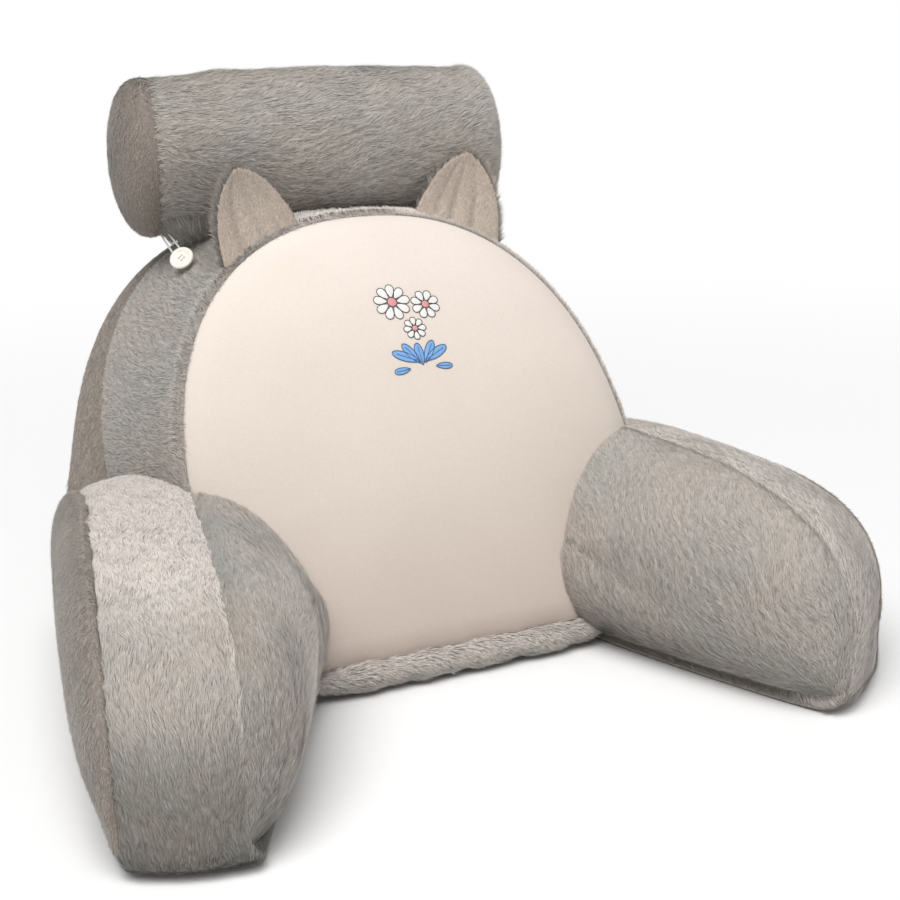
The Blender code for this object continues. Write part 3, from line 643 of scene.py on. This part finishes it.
def arm_rings(arm, sign):
    """An arm's inner seam swept outwards as the band, and the two domes that close it.

    arm is its row of ARMS, and sign is -1 on the left and 1 on the right.
    The inner seam is a superellipse outline stood on the floor along the arm. Its foot lies
    nearer the seat, and the band's outer seam lies lower and further back at the tip.
    """
    splay = arm["splay"]
    ahead = np.array([sign * math.sin(splay), -math.cos(splay), 0.0])
    out = np.array([sign * math.cos(splay), math.sin(splay), 0.0])
    root = np.array([sign * ARM_ROOT[0], ARM_ROOT[1], 0.0])
    level, height = ARM_MIDDLE
    reach = (arm["reach"] - level, ARM_ROOT[2] - height, ARM_BEHIND + level, height)
    loop = outline(200, ARM_MIDDLE, reach, (arm["top_power"], 4.0, 6.0, 14.0))
    behind = np.clip(-loop[:, 0] / ARM_BEHIND, 0.0, 1.0)
    along = loop[:, 0] - math.tan(LEAN) * loop[:, 1] * behind
    up = loop[:, 1] - 0.012 * behind
    inner = root + np.outer(np.maximum(along, 0.0), ahead) + np.outer(up, (0, 0, 1))
    inner[:, 1] -= np.minimum(along, 0.0)
    ahead_share = np.clip(along / arm["reach"], 0.0, 1.0)
    inset = foot_inset(arm, ahead_share) * (1.0 - up / ARM_ROOT[2])
    inner -= np.outer(inset, out)
    drop = arm["band_drop"] * np.clip(up / ARM_ROOT[2], 0.0, 1.0)
    spread = unit(loop - ARM_MIDDLE)
    swell = np.outer(spread[:, 0], ahead) + np.outer(spread[:, 1], (0, 0, 1))
    width = ARM_BAND * (1.0 - BAND_NARROWING * behind)
    setback = arm["tip_setback"] * ahead_share**2
    low = ease(1.0 - up / 0.03)
    roll_lift = FOOT_ROLL_LIFT * (0.25 + 0.5 * ahead_share)
    band = []
    for share in np.concatenate([np.linspace(0.0, 0.1, 7), np.linspace(0.14, 1.0, 24)]):
        ring = inner + share * (np.outer(width + inset, out) - np.outer(setback, ahead))
        ring[:, 2] -= share * drop
        seam_near = min(share, 1.0 - share) * ARM_BAND / SEAM_REACH
        inset_here = PILE_DEPTH + SEAM_DIP * math.exp(-(seam_near**2))
        ring += (ARM_BAND_CROWN * math.sin(math.pi * share) - inset_here) * swell
        roll = math.sin(math.pi * min(1.0, share / FOOT_ROLL_SHARE))
        ring -= np.outer(low * roll * (FOOT_ROLL + share * (width + inset)), out)
        ring[:, 2] += low * roll_lift * max(0.0, 1.0 - share / 0.06) * 0.9
        band.append(ring)
    band = lift_seams(band, roll_lift, SEAM_LIFT)
    lifted = np.clip((band[0][:, 2] - roll_lift) / 0.05, 0.0, 1.0)
    height, outer_crown = arm["belly_height"], arm["outer_crown"]
    slanted = foot_inset(arm, BELLY_SHARE) * (1.0 - height / ARM_ROOT[2])
    crown = arm["inner_crown"] + arm["belly"] - slanted
    inner_middle = root + BELLY_PLACE * ahead + (0.0, 0.0, height) - slanted * out
    outer_middle = root + ARM_BAND * out + (0.0, 0.0, OUTER_HEIGHT)
    peaks = inner_middle - crown * out, outer_middle + outer_crown * out
    inner_dome = dome(band[0], inner_middle, -out, crown, 0.45 + 0.55 * ease(lifted), ARM_SWELL, 32)
    inner_dome = relax(band[0], inner_dome, peaks[0], times=40)
    outer_dome = dome(band[-1], outer_middle, out, outer_crown, lifted, ARM_SWELL, 20)
    return band, inner_dome, outer_dome, peaks, root, ahead, out


for side, sign in SIDES:
    arm = ARMS[side]
    band, inner_dome, outer_dome, peaks, arm_root, ahead, out = arm_rings(arm, sign)
    arm_skin = np.concatenate([inner_dome[1::2][::-1], band, outer_dome[1::2]])[:, ::2]
    pad = "arm_pad_" + side
    shell(pad, [(arm_skin, peaks)], FUR_GROUND, "arm_" + side)
    inner_face = skin_on(
        "arm_inner_fur_" + side, band[0], inner_dome, peaks[0], -out, FUR_RISE, SEAM_TUCK,
        FUR_GROUND, step=2, node="arm_inner_" + side,
    )
    outer_face = skin_on(
        "arm_outer_plush_" + side, band[-1], outer_dome, peaks[1], out, PLUSH_RISE, SEAM_TUCK,
        PLUSH_GROUND, step=2, node="arm_outer_" + side,
    )

    def over_and_back(root):
        """Up the front of the arm, and then back along its top."""
        return -ahead - np.outer(ease((-root[:, 1] - 0.12) / 0.2) * 1.6, DOWN)

    def swirl(root):
        """Up and back, more and less steeply in broad swirls."""
        return -0.6 * ahead - np.outer(0.9 + 0.7 * ripple(root, 0.22, 5), DOWN)

    def along_arm(root):
        """How far along the arm points lie, from 0 at its root to 1 at its tip."""
        return np.clip((root - arm_root) @ ahead / arm["reach"], 0.0, 1.0)

    def off_seam(root):
        """How far points lie outside the slanted plane of the inner seam."""
        slant = foot_inset(arm, along_arm(root)) * (1.0 - root[:, 2] / ARM_ROOT[2])
        return (root - arm_root) @ out + slant

    def band_painted_light(root):
        """Lighter on top, as a painted sheen where the pile lies over to the front, and along the inner
        seam, and darker lower down, as painted shade.
        """
        seam = 0.35 * np.exp(-((off_seam(root) / 0.005) ** 2))
        if side == "right":
            foot = 0.5 + 1.1 * ease((0.90 - along_arm(root)) / 0.06)
            return 1.0 - foot * ease((0.07 - root[:, 2]) / 0.06) + seam
        return 0.72 * ease((root[:, 2] - 0.162) / 0.033) - 0.9 * ease((0.15 - root[:, 2]) / 0.13) + seam

    def panel_painted_light(root):
        """Darker near the floor on the right and dark at the seam, as painted shade, and lighter towards
        the seat on the left, as painted light.
        """
        off = off_seam(root)
        if side == "right":
            seam = 0.6 * np.exp(-((off / 0.005) ** 2)) * ease((root[:, 2] - 0.12) / 0.03)
            return -0.02 - 0.2 * ease((0.07 - root[:, 2]) / 0.06) - seam
        return 0.12 + 0.25 * ease((-off - 0.03) / 0.05) - 0.5 * np.exp(-((off / 0.02) ** 2))

    for kind, skin, nap, hair, rise, seed, finish, facing, paler_and_painted_light in (
        ("band", band, over_and_back, LONG_HAIR, 0.15, 31, LONG_PILE, None, band_painted_light),
        ("inner", inner_face, swirl, LONG_HAIR, 0.2, 32, LONG_PILE, -out, panel_painted_light),
        ("outer", outer_face, DOWN, SHORT_HAIR, 0.3, 33, SHORT_PILE, out, 0.12),
    ):
        name = "arm_" + kind + "_pile_" + side
        pile(name, skin, nap, finish, hair, arm["hairs"][kind], rise, seed, unseen, facing, paler_and_painted_light)

# ---- Rolled strip under the velvet ----
# The gusset's front edge is turned and rolled along the floor below the velvet panel.
# Its section is a slanted oval, uneven along its length and drawn in at its ends.
STRIP_ENDS, STRIP_HEIGHT, STRIP_DEPTH, STRIP_LIFT = (-0.172, 0.150), 0.0285, 0.030, 0.0045
STRIP_HAIR, STRIP_NAP = (0.007, 0.0009), np.array([1.0, 0.0, -0.5])
STRIP_WAVES = ((0.08, 95.0), (0.04, 210.0))  # unevenness, and its waves in radians a metre
across = np.linspace(-1.0, 1.0, 90).reshape(-1, 1)
strip_turn = full_turn(28)
strip_x = STRIP_ENDS[0] + 0.5 * (across + 1.0) * (STRIP_ENDS[1] - STRIP_ENDS[0])
strip_size = 1.0 + sum(height * np.sin(wave * strip_x) for height, wave in STRIP_WAVES)
strip_size = (1.0 - np.abs(across) ** 8 * 0.55) * strip_size
strip_z = np.clip(0.5 * STRIP_HEIGHT * (1.0 + strip_size * np.sin(strip_turn)), 0.0005, STRIP_HEIGHT)
strip_y = 0.001 + 0.44 * STRIP_DEPTH * strip_size * np.cos(strip_turn)
strip_y = PANEL_FOOT[1] - 0.003 + np.minimum(strip_y, 0.015 - 0.60 * strip_z)
strip = np.stack([np.broadcast_to(strip_x, strip_y.shape), strip_y, strip_z + STRIP_LIFT], 2)
shell("base_roll", [(strip, [strip[0].mean(0), strip[-1].mean(0)])], FUR_GROUND, "base_strip")
# The strip's pile is lighter on top and a little darker below: painted light and shade.
pile(
    "strip_pile", strip, STRIP_NAP, LONG_PILE, STRIP_HAIR, count=18000, rise=0.25, seed=41,
    paler_and_painted_light=lambda root: 0.85 * ease((root[:, 2] - 0.010) / 0.018) - 0.05,
)

# ---- Neck roll ----
# A tube of long pile stuffed round and closed by two puffed discs of short plush. It lies on
# the gusset, tied by its loops, a little askew, and its weight flattens it underneath.
ROLL_CENTRE, ROLL_RADIUS, ROLL_HALF = np.array([-0.009, 0.257, 0.490]), 0.092, 0.166
ROLL_CAP_CROWN, ROLL_YAW, ROLL_TAPER = 0.053, math.radians(-10.5), 0.07
CAP_INSET, CAP_GAP = 0.003, 0.0008  # the caps' cloth below their pile's tips, and off the tube
TUFT_HAIR, FRINGE_HAIR = (0.0155, 0.0011), (0.0075, 0.0009)
CREST_RISE, CREST_SPAN = 0.011, 0.26  # of the gusset's crest that carries the roll
ROLL_AXIS = np.array([math.cos(ROLL_YAW), math.sin(ROLL_YAW), 0.0])
ROLL_BACK = np.array([-ROLL_AXIS[1], ROLL_AXIS[0], 0.0])


def roll_rings(places, radii):
    """Rings about the roll's axis, pressed up where the gusset's crest carries it.

    The crest is a superellipse that falls to the rear and stands higher near its middle. What
    would be below it is brought to a tenth of the way there.
    """
    turn = full_turn(120)
    points = ROLL_CENTRE + np.asarray(places)[:, None, None] * ROLL_AXIS
    points = points + np.outer(radii, np.cos(turn))[..., None] * ROLL_BACK
    points[..., 2] += np.outer(radii, np.sin(turn))
    share = np.clip((points[..., 1] - PANEL_FOOT[1]) / GUSSET_SHIFT[1] - 1.14, 0.0, 1.0)
    level = 1.0 - np.abs(np.clip(points[..., 0] / CREST_SPAN, -0.999, 0.999)) ** DOME_POWER
    crest = (SHOULDER + (PANEL_HEIGHT - SHOULDER) * level ** (1 / DOME_POWER)) * math.cos(LEAN)
    crest += PANEL_FOOT[2] + GUSSET_SHIFT[2] * share + 0.001
    crest += CREST_RISE * ease((0.15 - np.abs(points[..., 0])) / 0.07)
    points[..., 2] = np.maximum(points[..., 2], crest + 0.1 * (points[..., 2] - crest))
    return points


def along_roll(root):
    """Along the roll towards its right end, turning up on the way."""
    return ROLL_AXIS - np.outer(0.22 + 1.6 * (root[:, 0] - ROLL_CENTRE[0]), DOWN)


def roll_painted_light(root):
    """A little lighter on top, as painted light."""
    return 0.16 * ease((root[:, 2] - 0.50) / 0.06)


tube_places = np.linspace(-ROLL_HALF, ROLL_HALF, 70)
tube_edge = ease((ROLL_HALF - np.abs(tube_places)) / 0.012)
tube_radii = ROLL_RADIUS * (1.0 - ROLL_TAPER * np.abs(tube_places / ROLL_HALF) ** 3)
tube = roll_rings(tube_places, tube_radii - PILE_DEPTH * (0.6 + 0.4 * tube_edge))
tube = tube + (0.0016 * ripple(tube, 0.09, 53) * tube_edge[:, None])[..., None] * outward(tube)
tube_ends = [ROLL_CENTRE + sign * (ROLL_HALF - 0.01) * ROLL_AXIS for sign in (-1.0, 1.0)]
tube_skin = np.concatenate([tube[:6], tube[6:-6:3], tube[-6:]])
shell("roll_pad", [(tube_skin, tube_ends)], FUR_GROUND, "bolster")
pile(
    "roll_pile", tube, along_roll, LONG_PILE, LONG_HAIR, count=130000, rise=0.22, seed=51,
    paler_and_painted_light=roll_painted_light,
)
pile(
    "roll_tufts", tube[:40], DOWN + 0.2 * ROLL_AXIS, LONG_PILE, TUFT_HAIR, count=12000, rise=0.5,
    seed=55, bare=lambda root: root[:, 2] > 0.435, paler_and_painted_light=-0.1,
)
pile(
    "roll_fringe", tube[:4], -ROLL_AXIS + 0.3 * DOWN, LONG_PILE, FRINGE_HAIR, count=5000, rise=0.2,
    seed=56, paler_and_painted_light=roll_painted_light,
)
for side, sign in SIDES:
    a = np.linspace(0.0, 0.5 * math.pi * 0.97, 26)
    rim = ROLL_RADIUS * (1.0 - ROLL_TAPER) - CAP_INSET
    crown = ROLL_CAP_CROWN - CAP_INSET
    cap_places = sign * (ROLL_HALF + CAP_GAP + crown * np.sin(a))
    cap = roll_rings(cap_places, rim * np.cos(a) * (1.0 + 0.25 * np.sin(a)))
    cap_poles = (cap[0].mean(0), ROLL_CENTRE + sign * (ROLL_HALF + crown) * ROLL_AXIS)
    shell("roll_cap_" + side, [(cap[::2], cap_poles)], PLUSH_GROUND, "bolster_cap_" + side)
    furred = 14 if side == "right" else 0  # the tube's fur comes round the right end
    pile(
        "roll_cap_pile_" + side, cap[furred:], DOWN, SHORT_PILE, SHORT_HAIR,
        count=18000 - 700 * furred, rise=0.3, seed=52, facing=sign * ROLL_AXIS,
    )
pile(
    "roll_end_pile", cap[:furred + 2], along_roll, LONG_PILE, LONG_HAIR, count=20000, rise=0.2,
    seed=54, facing=ROLL_AXIS, paler_and_painted_light=roll_painted_light,
)

# ---- Seam edges ----
# The rear seam's allowance is turned towards the back and shows as a thin rolled edge. Long
# hairs caught in the front seam lie over the velvet's edge.
EDGE_RADIUS, EDGE_TURN = 0.0024, 0.0022
upper = np.nonzero(panel_loop[:, 1] > 0.04)[0]
upper = np.roll(upper, -(1 + int(np.argmax(np.diff(upper) > 1))))  # from floor to floor over the top
edge_line = gusset[-1][upper] + EDGE_TURN * (0.7 * sideways[upper] + 0.4 * TO_REAR)
edge_size = 1.0 + 0.10 * ripple(edge_line, 0.012, 61) + 0.06 * ripple(edge_line, 0.005, 62)
edge_rings = strand(edge_line, EDGE_RADIUS * edge_size[:, None, None], sides=10)
shell("rear_seam_edge", [edge_rings], PLUSH_GROUND)
caught = gusset_rings(np.linspace(0.003, 0.05, 8), PILE_DEPTH)


def over_rim(root):
    """Forward onto the velvet on the left and at the crest, and away from its middle on the right."""
    spoke = root - panel_middle
    spoke = unit(spoke - np.outer(spoke @ OUT_OF_PANEL, OUT_OF_PANEL))
    right = ease(root[:, :1] / 0.08)
    return right * spoke - (1.0 - right) * TO_REAR


# The fringe's pile is painted a little lighter, as painted light, on top of the gusset's painted light and
# shade.
pile(
    "seam_fringe", caught, over_rim, LONG_PILE, FRINGE_HAIR, count=24000, rise=0.25, seed=63,
    bare=lambda root: root[:, 2] < 0.02, paler_and_painted_light=lambda root: 0.1 + gusset_painted_light(root),
    lit=1.2 * OUT_OF_PANEL,
)

# ---- Ears ----
# Two pointed ears are caught in the top of the front seam. Each has a short-plush face,
# pleated where it is gathered into the seam, and a back of long pile that shows at its edge.
EAR_SPAN, EAR_TIP, EAR_BACK, EAR_THICK = (0.066, 0.153), (0.132, 0.134, 0.485), 0.008, 0.0105
EAR_PLEATS = ((-0.42, 0.12, 0.0060), (0.12, 0.10, 0.0048), (0.52, 0.09, 0.0032))  # place, width, depth
EAR_ROUND = 96  # points round an ear's section, the first half of them on its back
EAR_FACE_HAIR, EAR_REAR_HAIR = (0.0036, 0.0007), (0.0125, 0.0009)
BOW_OUTER, BOW_INNER = (0.022, 0.011), (-0.010, 0.016)  # how far its edges bow, aside and up
EAR_PLUSH = ground_finish(
    "ear_plush_ground", "taupe_plush", (0.36, 0.30, 0.255), (0.52, 0.44, 0.375),
    size=0.003, depth=0.0008,
)
EAR_PILE = pile_finish(
    "ear_short_pile", "taupe_plush",
    (0.38, 0.32, 0.27), (0.60, 0.50, 0.42), (0.56, 0.485, 0.41), (0.82, 0.71, 0.61),
)


def on_gusset(x, share, room):
    """Points a little off the upper gusset, from their places across and over its depth."""
    x, share = np.broadcast_arrays(np.asarray(x, float), np.asarray(share, float))
    level = (1.0 - np.abs(x / PANEL_HALF_WIDTH) ** DOME_POWER) ** (1.0 / DOME_POWER)
    slope = SHOULDER + (PANEL_HEIGHT - SHOULDER) * level
    out = unit(np.stack([x / PANEL_HALF_WIDTH, level], -1))
    bulge = GUSSET_CROWN * np.sin(math.pi * share) ** GUSSET_ROUND
    off = GUSSET_FLARE * share * np.abs(out[..., 0]) + bulge + room
    place = PANEL_FOOT + share[..., None] * GUSSET_SHIFT + slope[..., None] * UP_SLOPE
    place[..., 0] += x + off * out[..., 0]
    return place + (off * out[..., 1])[..., None] * UP_SLOPE


def ear_rings(sign):
    """Levels between two bowed edges that meet at the tip, the lowest following the seam.

    The face and the back are thick * sin t apart, both hollowed, and the face has pleats:
    dents of depth * exp(-((x - place) / width)^2) that fade upwards.
    """
    turns = full_turn(EAR_ROUND)
    level_x = 0.5 * (EAR_SPAN[0] + EAR_SPAN[1]) - 0.5 * (EAR_SPAN[1] - EAR_SPAN[0]) * np.cos(turns)
    base = on_gusset(sign * level_x, (EAR_BACK + 0.5 * EAR_THICK * np.sin(turns)) / GUSSET_SHIFT[1], 0.0)
    inner, outer = on_gusset(sign * np.array(EAR_SPAN), EAR_BACK / GUSSET_SHIFT[1], 0.0)
    tip = np.array([sign * EAR_TIP[0], EAR_TIP[1], EAR_TIP[2]])
    share = np.linspace(0.0, 0.985, 30).reshape(-1, 1)
    rest = 1.0 - share
    edge_a, edge_b = (
        rest**2 * foot + 2 * rest * share * (0.5 * (foot + tip) + (sign * aside, 0.0, up)) + share**2 * tip
        for foot, (aside, up) in ((outer, BOW_OUTER), (inner, BOW_INNER))
    )
    width = np.linalg.norm(edge_b - edge_a, axis=1)
    blunt = (width / width[0]) ** -0.2
    half = 0.5 * np.cos(turns)[:, None] * (blunt[:, None] * (edge_b - edge_a))[:, None]
    rings = 0.5 * (edge_a + edge_b)[:, None] + half
    face = np.maximum(-np.sin(turns), 0.0)
    swell = np.sign(np.sin(turns)) * np.abs(np.sin(turns)) ** 0.8
    rings[..., 1] += 0.5 * EAR_THICK * (1.0 - 0.5 * share) * swell
    rings[..., 1] += 0.006 * np.sin(math.pi * share) * np.sin(turns) ** 2
    for place, width, depth in EAR_PLEATS:
        dent = np.exp(-(((np.cos(turns) - place) / width) ** 2)) * face
        rings[..., 1] += depth * dent * rest**1.3 * ease(share / 0.04 + 0.3)
    rings = rings + rest[..., None] ** 2 * (base - rings[0])[None]
    return rings, tip


for side, sign in SIDES:
    skin, tip = ear_rings(sign)
    on_face = np.arange(EAR_ROUND) >= EAR_ROUND // 2
    shell("plush_ear_" + side, [(skin, (skin[0].mean(0), tip))], EAR_PLUSH, "ear_" + side)
    up_to_tip = np.array([sign * 0.3, 0.25, 1.0])
    pile(
        "ear_face_pile_" + side, skin, up_to_tip, EAR_PILE, EAR_FACE_HAIR, count=11000, rise=0.35,
        seed=71, bare=~on_face,
    )
    pile(
        "ear_rear_pile_" + side, skin, up_to_tip + (sign, 0, 0), LONG_PILE, EAR_REAR_HAIR, count=9000,
        rise=0.45, seed=72, bare=on_face, paler_and_painted_light=0.15,
    )

# ---- Buttons ----
# A cream resin button is sewn to the gusset at each side through four holes. It is turned
# with a rounded rim and a dished middle, and leans where the loop pulls on it.
BUTTON_PLACE, BUTTON_RISE, BUTTON_FACING = (0.158, 0.412), 0.010, (0.50, -0.60, 0.62)
BUTTON_RADIUS, BUTTON_THICK, HOLE_PLACE, HOLE_RADIUS = 0.0131, 0.0042, 0.0021955, 0.00085
BUTTON_EDGE = (  # shares of the radius and of the thickness, from beneath to the rim's top
    (0.45, 0.0), (0.86, 0.02), (0.97, 0.22), (1.0, 0.5), (0.97, 0.8), (0.88, 0.98), (0.80, 1.0),
)
RESIN = ground_finish(
    "cream_resin", "cream_resin", (0.80, 0.745, 0.66), (0.86, 0.81, 0.73), size=0.006, depth=0.00005,
    gloss=(0.28, 0.5, 0.0),
)
SEWING_THREAD = thread_finish("sewing_thread", "cream_resin", (0.80, 0.75, 0.68), (0.66, 0.61, 0.54))


def button_frame(sign):
    """A button's middle, its two directions across, and the way that it faces."""
    facing = unit(np.array(BUTTON_FACING) * (sign, 1.0, 1.0))
    across = unit(np.cross(facing, (0.0, 1.0, 0.0)))
    centre = on_gusset(sign * BUTTON_PLACE[0], BUTTON_PLACE[1], BUTTON_RISE)
    return centre, across, np.cross(facing, across), facing


for side, sign in SIDES:
    centre, across, along, facing = button_frame(sign)
    t = full_turn(64)
    outside = np.array(BUTTON_EDGE)
    inside = np.linspace(0.74, 0.03, 26)
    radii = BUTTON_RADIUS * np.concatenate([outside[:, 0], inside])
    heights = BUTTON_THICK * np.concatenate([outside[:, 1], 0.66 + 0.30 * ease((inside - 0.50) / 0.28)])
    flat = radii[:, None, None] * np.stack([np.cos(t), np.sin(t)], 1)
    lifted = np.repeat(heights[:, None], len(t), 1)
    for hole in ((1, 1), (1, -1), (-1, -1), (-1, 1)):
        reach = np.linalg.norm(flat - HOLE_PLACE * np.array(hole), axis=2)
        lifted[len(outside):] -= 0.6 * BUTTON_THICK * ease(1.6 - reach / HOLE_RADIUS)[len(outside):]
    skin = centre + flat[..., :1] * across + flat[..., 1:] * along + lifted[..., None] * facing
    shell("resin_button_" + side, [(skin, (centre, skin[-1].mean(0)))], RESIN, "button_" + side)
    arc = np.linspace(0.0, math.pi, 12)[:, None]
    stitch = HOLE_PLACE * np.cos(arc) * across + 0.0008 * np.sin(arc) * facing
    foot = centre + 0.60 * BUTTON_THICK * facing
    bars = [
        strand(foot + (HOLE_PLACE * row + 0.00028 * shift) * along + stitch, 0.00022)
        for shift in (-1.0, 0.0, 1.0) for row in (-1.0, 1.0)
    ]
    shell("button_thread_" + side, bars, SEWING_THREAD)

# ---- Elastic loops ----
# A thin round elastic comes out of the roll's cap seam at each side, passes round the shank
# of the button, and goes back into the seam. It holds the roll in place.
LOOP_RADIUS, LOOP_GAP, LOOP_START = 0.0011, 0.0045, math.radians(62.0)
LOOP_ROOM, SHANK_ROOM = 0.0024, 0.0016  # clear of the roll's rim, and behind the button
ELASTIC = thread_finish("pale_elastic", "pale_elastic", (0.74, 0.73, 0.71), (0.58, 0.57, 0.55))
for side, sign in SIDES:
    centre, across, along, facing = button_frame(sign)
    rim = ROLL_RADIUS * (1.0 - ROLL_TAPER) + LOOP_RADIUS + LOOP_ROOM
    start = ROLL_CENTRE + sign * ROLL_HALF * ROLL_AXIS - rim * math.cos(LOOP_START) * ROLL_BACK
    start[2] -= rim * math.sin(LOOP_START)
    run = centre - start
    run = unit(run - (run @ facing) * facing)
    aside = LOOP_GAP * np.cross(run, facing)
    shank = centre - (LOOP_RADIUS + SHANK_ROOM) * facing
    rim_edge = shank - (BUTTON_RADIUS + LOOP_RADIUS) * run
    along_seam = math.copysign(LOOP_GAP, aside[0]) * ROLL_AXIS
    arc = np.linspace(0.0, math.pi, 15)[:, None]
    share = np.linspace(0.0, 1.0, 9)[:, None]
    going = (1 - share) * (start + along_seam) + share * (rim_edge + aside)
    coming = (1 - share) * (rim_edge - aside) + share * (start - along_seam)
    line = np.concatenate([going, shank + np.cos(arc) * aside + LOOP_GAP * np.sin(arc) * run, coming])
    for _ in range(2):
        line[1:-1] = 0.25 * line[:-2] + 0.5 * line[1:-1] + 0.25 * line[2:]
    elastic = shell("elastic_" + side, [strand(line, LOOP_RADIUS, sides=12)], ELASTIC, "loop_" + side)
    length = float(np.linalg.norm(np.diff(line, axis=0), axis=1).sum())
    print("loop", side, round(length, 4))

# ---- Floor, light and camera ----
# A pale floor that fades into an even white studio, a soft light from high in front and a
# near lamp.
ROOM_LIGHT, ROOM_SEEN, FLOOR_HALF, FLOOR_DROP = 0.42, 1.0, 6.0, 0.001
floor_finish, tree = new_finish("pale_floor", None, 0.8, 0.2, 0.0)
shader = tree.nodes["Principled BSDF"]
feed(tree, shader, {"Base Color": (0.9, 0.9, 0.9, 1)})
place = add(tree, "TexCoord").outputs["Object"]
far = add(tree, "VectorMath", {0: place}, operation="LENGTH").outputs["Value"]
reach = add(
    tree, "MapRange", {"Value": far, "From Min": 0.7, "From Max": 2.6}, interpolation_type="SMOOTHSTEP"
)
haze = add(tree, "Emission", {"Strength": ROOM_SEEN})
either = add(tree, "MixShader", {0: reach.outputs["Result"], 1: shader.outputs[0], 2: haze.outputs[0]})
feed(tree, tree.nodes["Material Output"], {"Surface": either.outputs[0]})
corners = [(FLOOR_HALF * x, FLOOR_HALF * y, -FLOOR_DROP) for x, y in ((-1, -1), (1, -1), (1, 1), (-1, 1))]
floor_mesh = bpy.data.meshes.new("floor")
floor_mesh.from_pydata(corners, [], [(0, 1, 2, 3)])
floor_mesh.materials.append(floor_finish)
floor = put("floor", floor_mesh)

world = bpy.data.worlds.new("studio")
world.use_nodes = True
tree = world.node_tree
lit_by = tree.nodes["Background"]
feed(tree, lit_by, {"Color": (1, 1, 1, 1), "Strength": ROOM_LIGHT})
seen = add(tree, "Background", {"Color": (1, 1, 1, 1), "Strength": ROOM_SEEN})
seen_by = add(tree, "LightPath").outputs["Is Camera Ray"]
either = add(tree, "MixShader", {0: seen_by, 1: lit_by.outputs[0], 2: seen.outputs[0]})
feed(tree, tree.nodes["World Output"], {"Surface": either.outputs[0]})
bpy.context.scene.world = world
bpy.context.scene.view_settings.view_transform = "Standard"


def aimed(back, place, roll=0.0):
    """The matrix of a lamp or camera at a place, looking away from back, level or rolled."""
    right = unit(np.cross((0.0, 0.0, 1.0), back))
    up = np.cross(back, right)
    cos, sin = math.cos(roll), math.sin(roll)
    axes = np.column_stack([cos * right + sin * up, cos * up - sin * right, back, place])
    return Matrix(np.vstack([axes, (0, 0, 0, 1)]).tolist())


def lamp(name, kind, place, target, size, power):
    """A soft lamp at a place, turned to face a target: an area by its width, a sun by its angle."""
    data = bpy.data.lights.new(name, kind)
    data.energy = power
    if kind == "AREA":
        data.size = size
    else:
        data.angle = size
    put(name, data).matrix_world = aimed(unit(np.array(place) - target), place)


lamp("high", "SUN", (-0.7, -0.9, 2.4), (0.0, 0.0, 0.2), size=math.radians(50.0), power=2.15)
lamp("near", "AREA", (-0.5, -0.7, 1.35), (0.0, 0.0, 0.25), size=0.7, power=4.5)

AZIMUTH, ELEVATION, ROLL = math.radians(-25.296), math.radians(15.239), math.radians(-1.652)
CAMERA_TARGET, CAMERA_DISTANCE, FOCAL_PIXELS = np.array([-0.014, -0.105, 0.229]), 1.497, 1568.457
to_camera = np.array([
    math.sin(AZIMUTH) * math.cos(ELEVATION), -math.cos(AZIMUTH) * math.cos(ELEVATION), math.sin(ELEVATION)
])
camera_data = bpy.data.cameras.new("camera")
camera_data.sensor_width, camera_data.lens = 36.0, 36.0 * FOCAL_PIXELS / 900.0
camera = put("camera", camera_data)
camera.matrix_world = aimed(to_camera, CAMERA_TARGET + CAMERA_DISTANCE * to_camera, ROLL)
bpy.context.scene.camera = camera
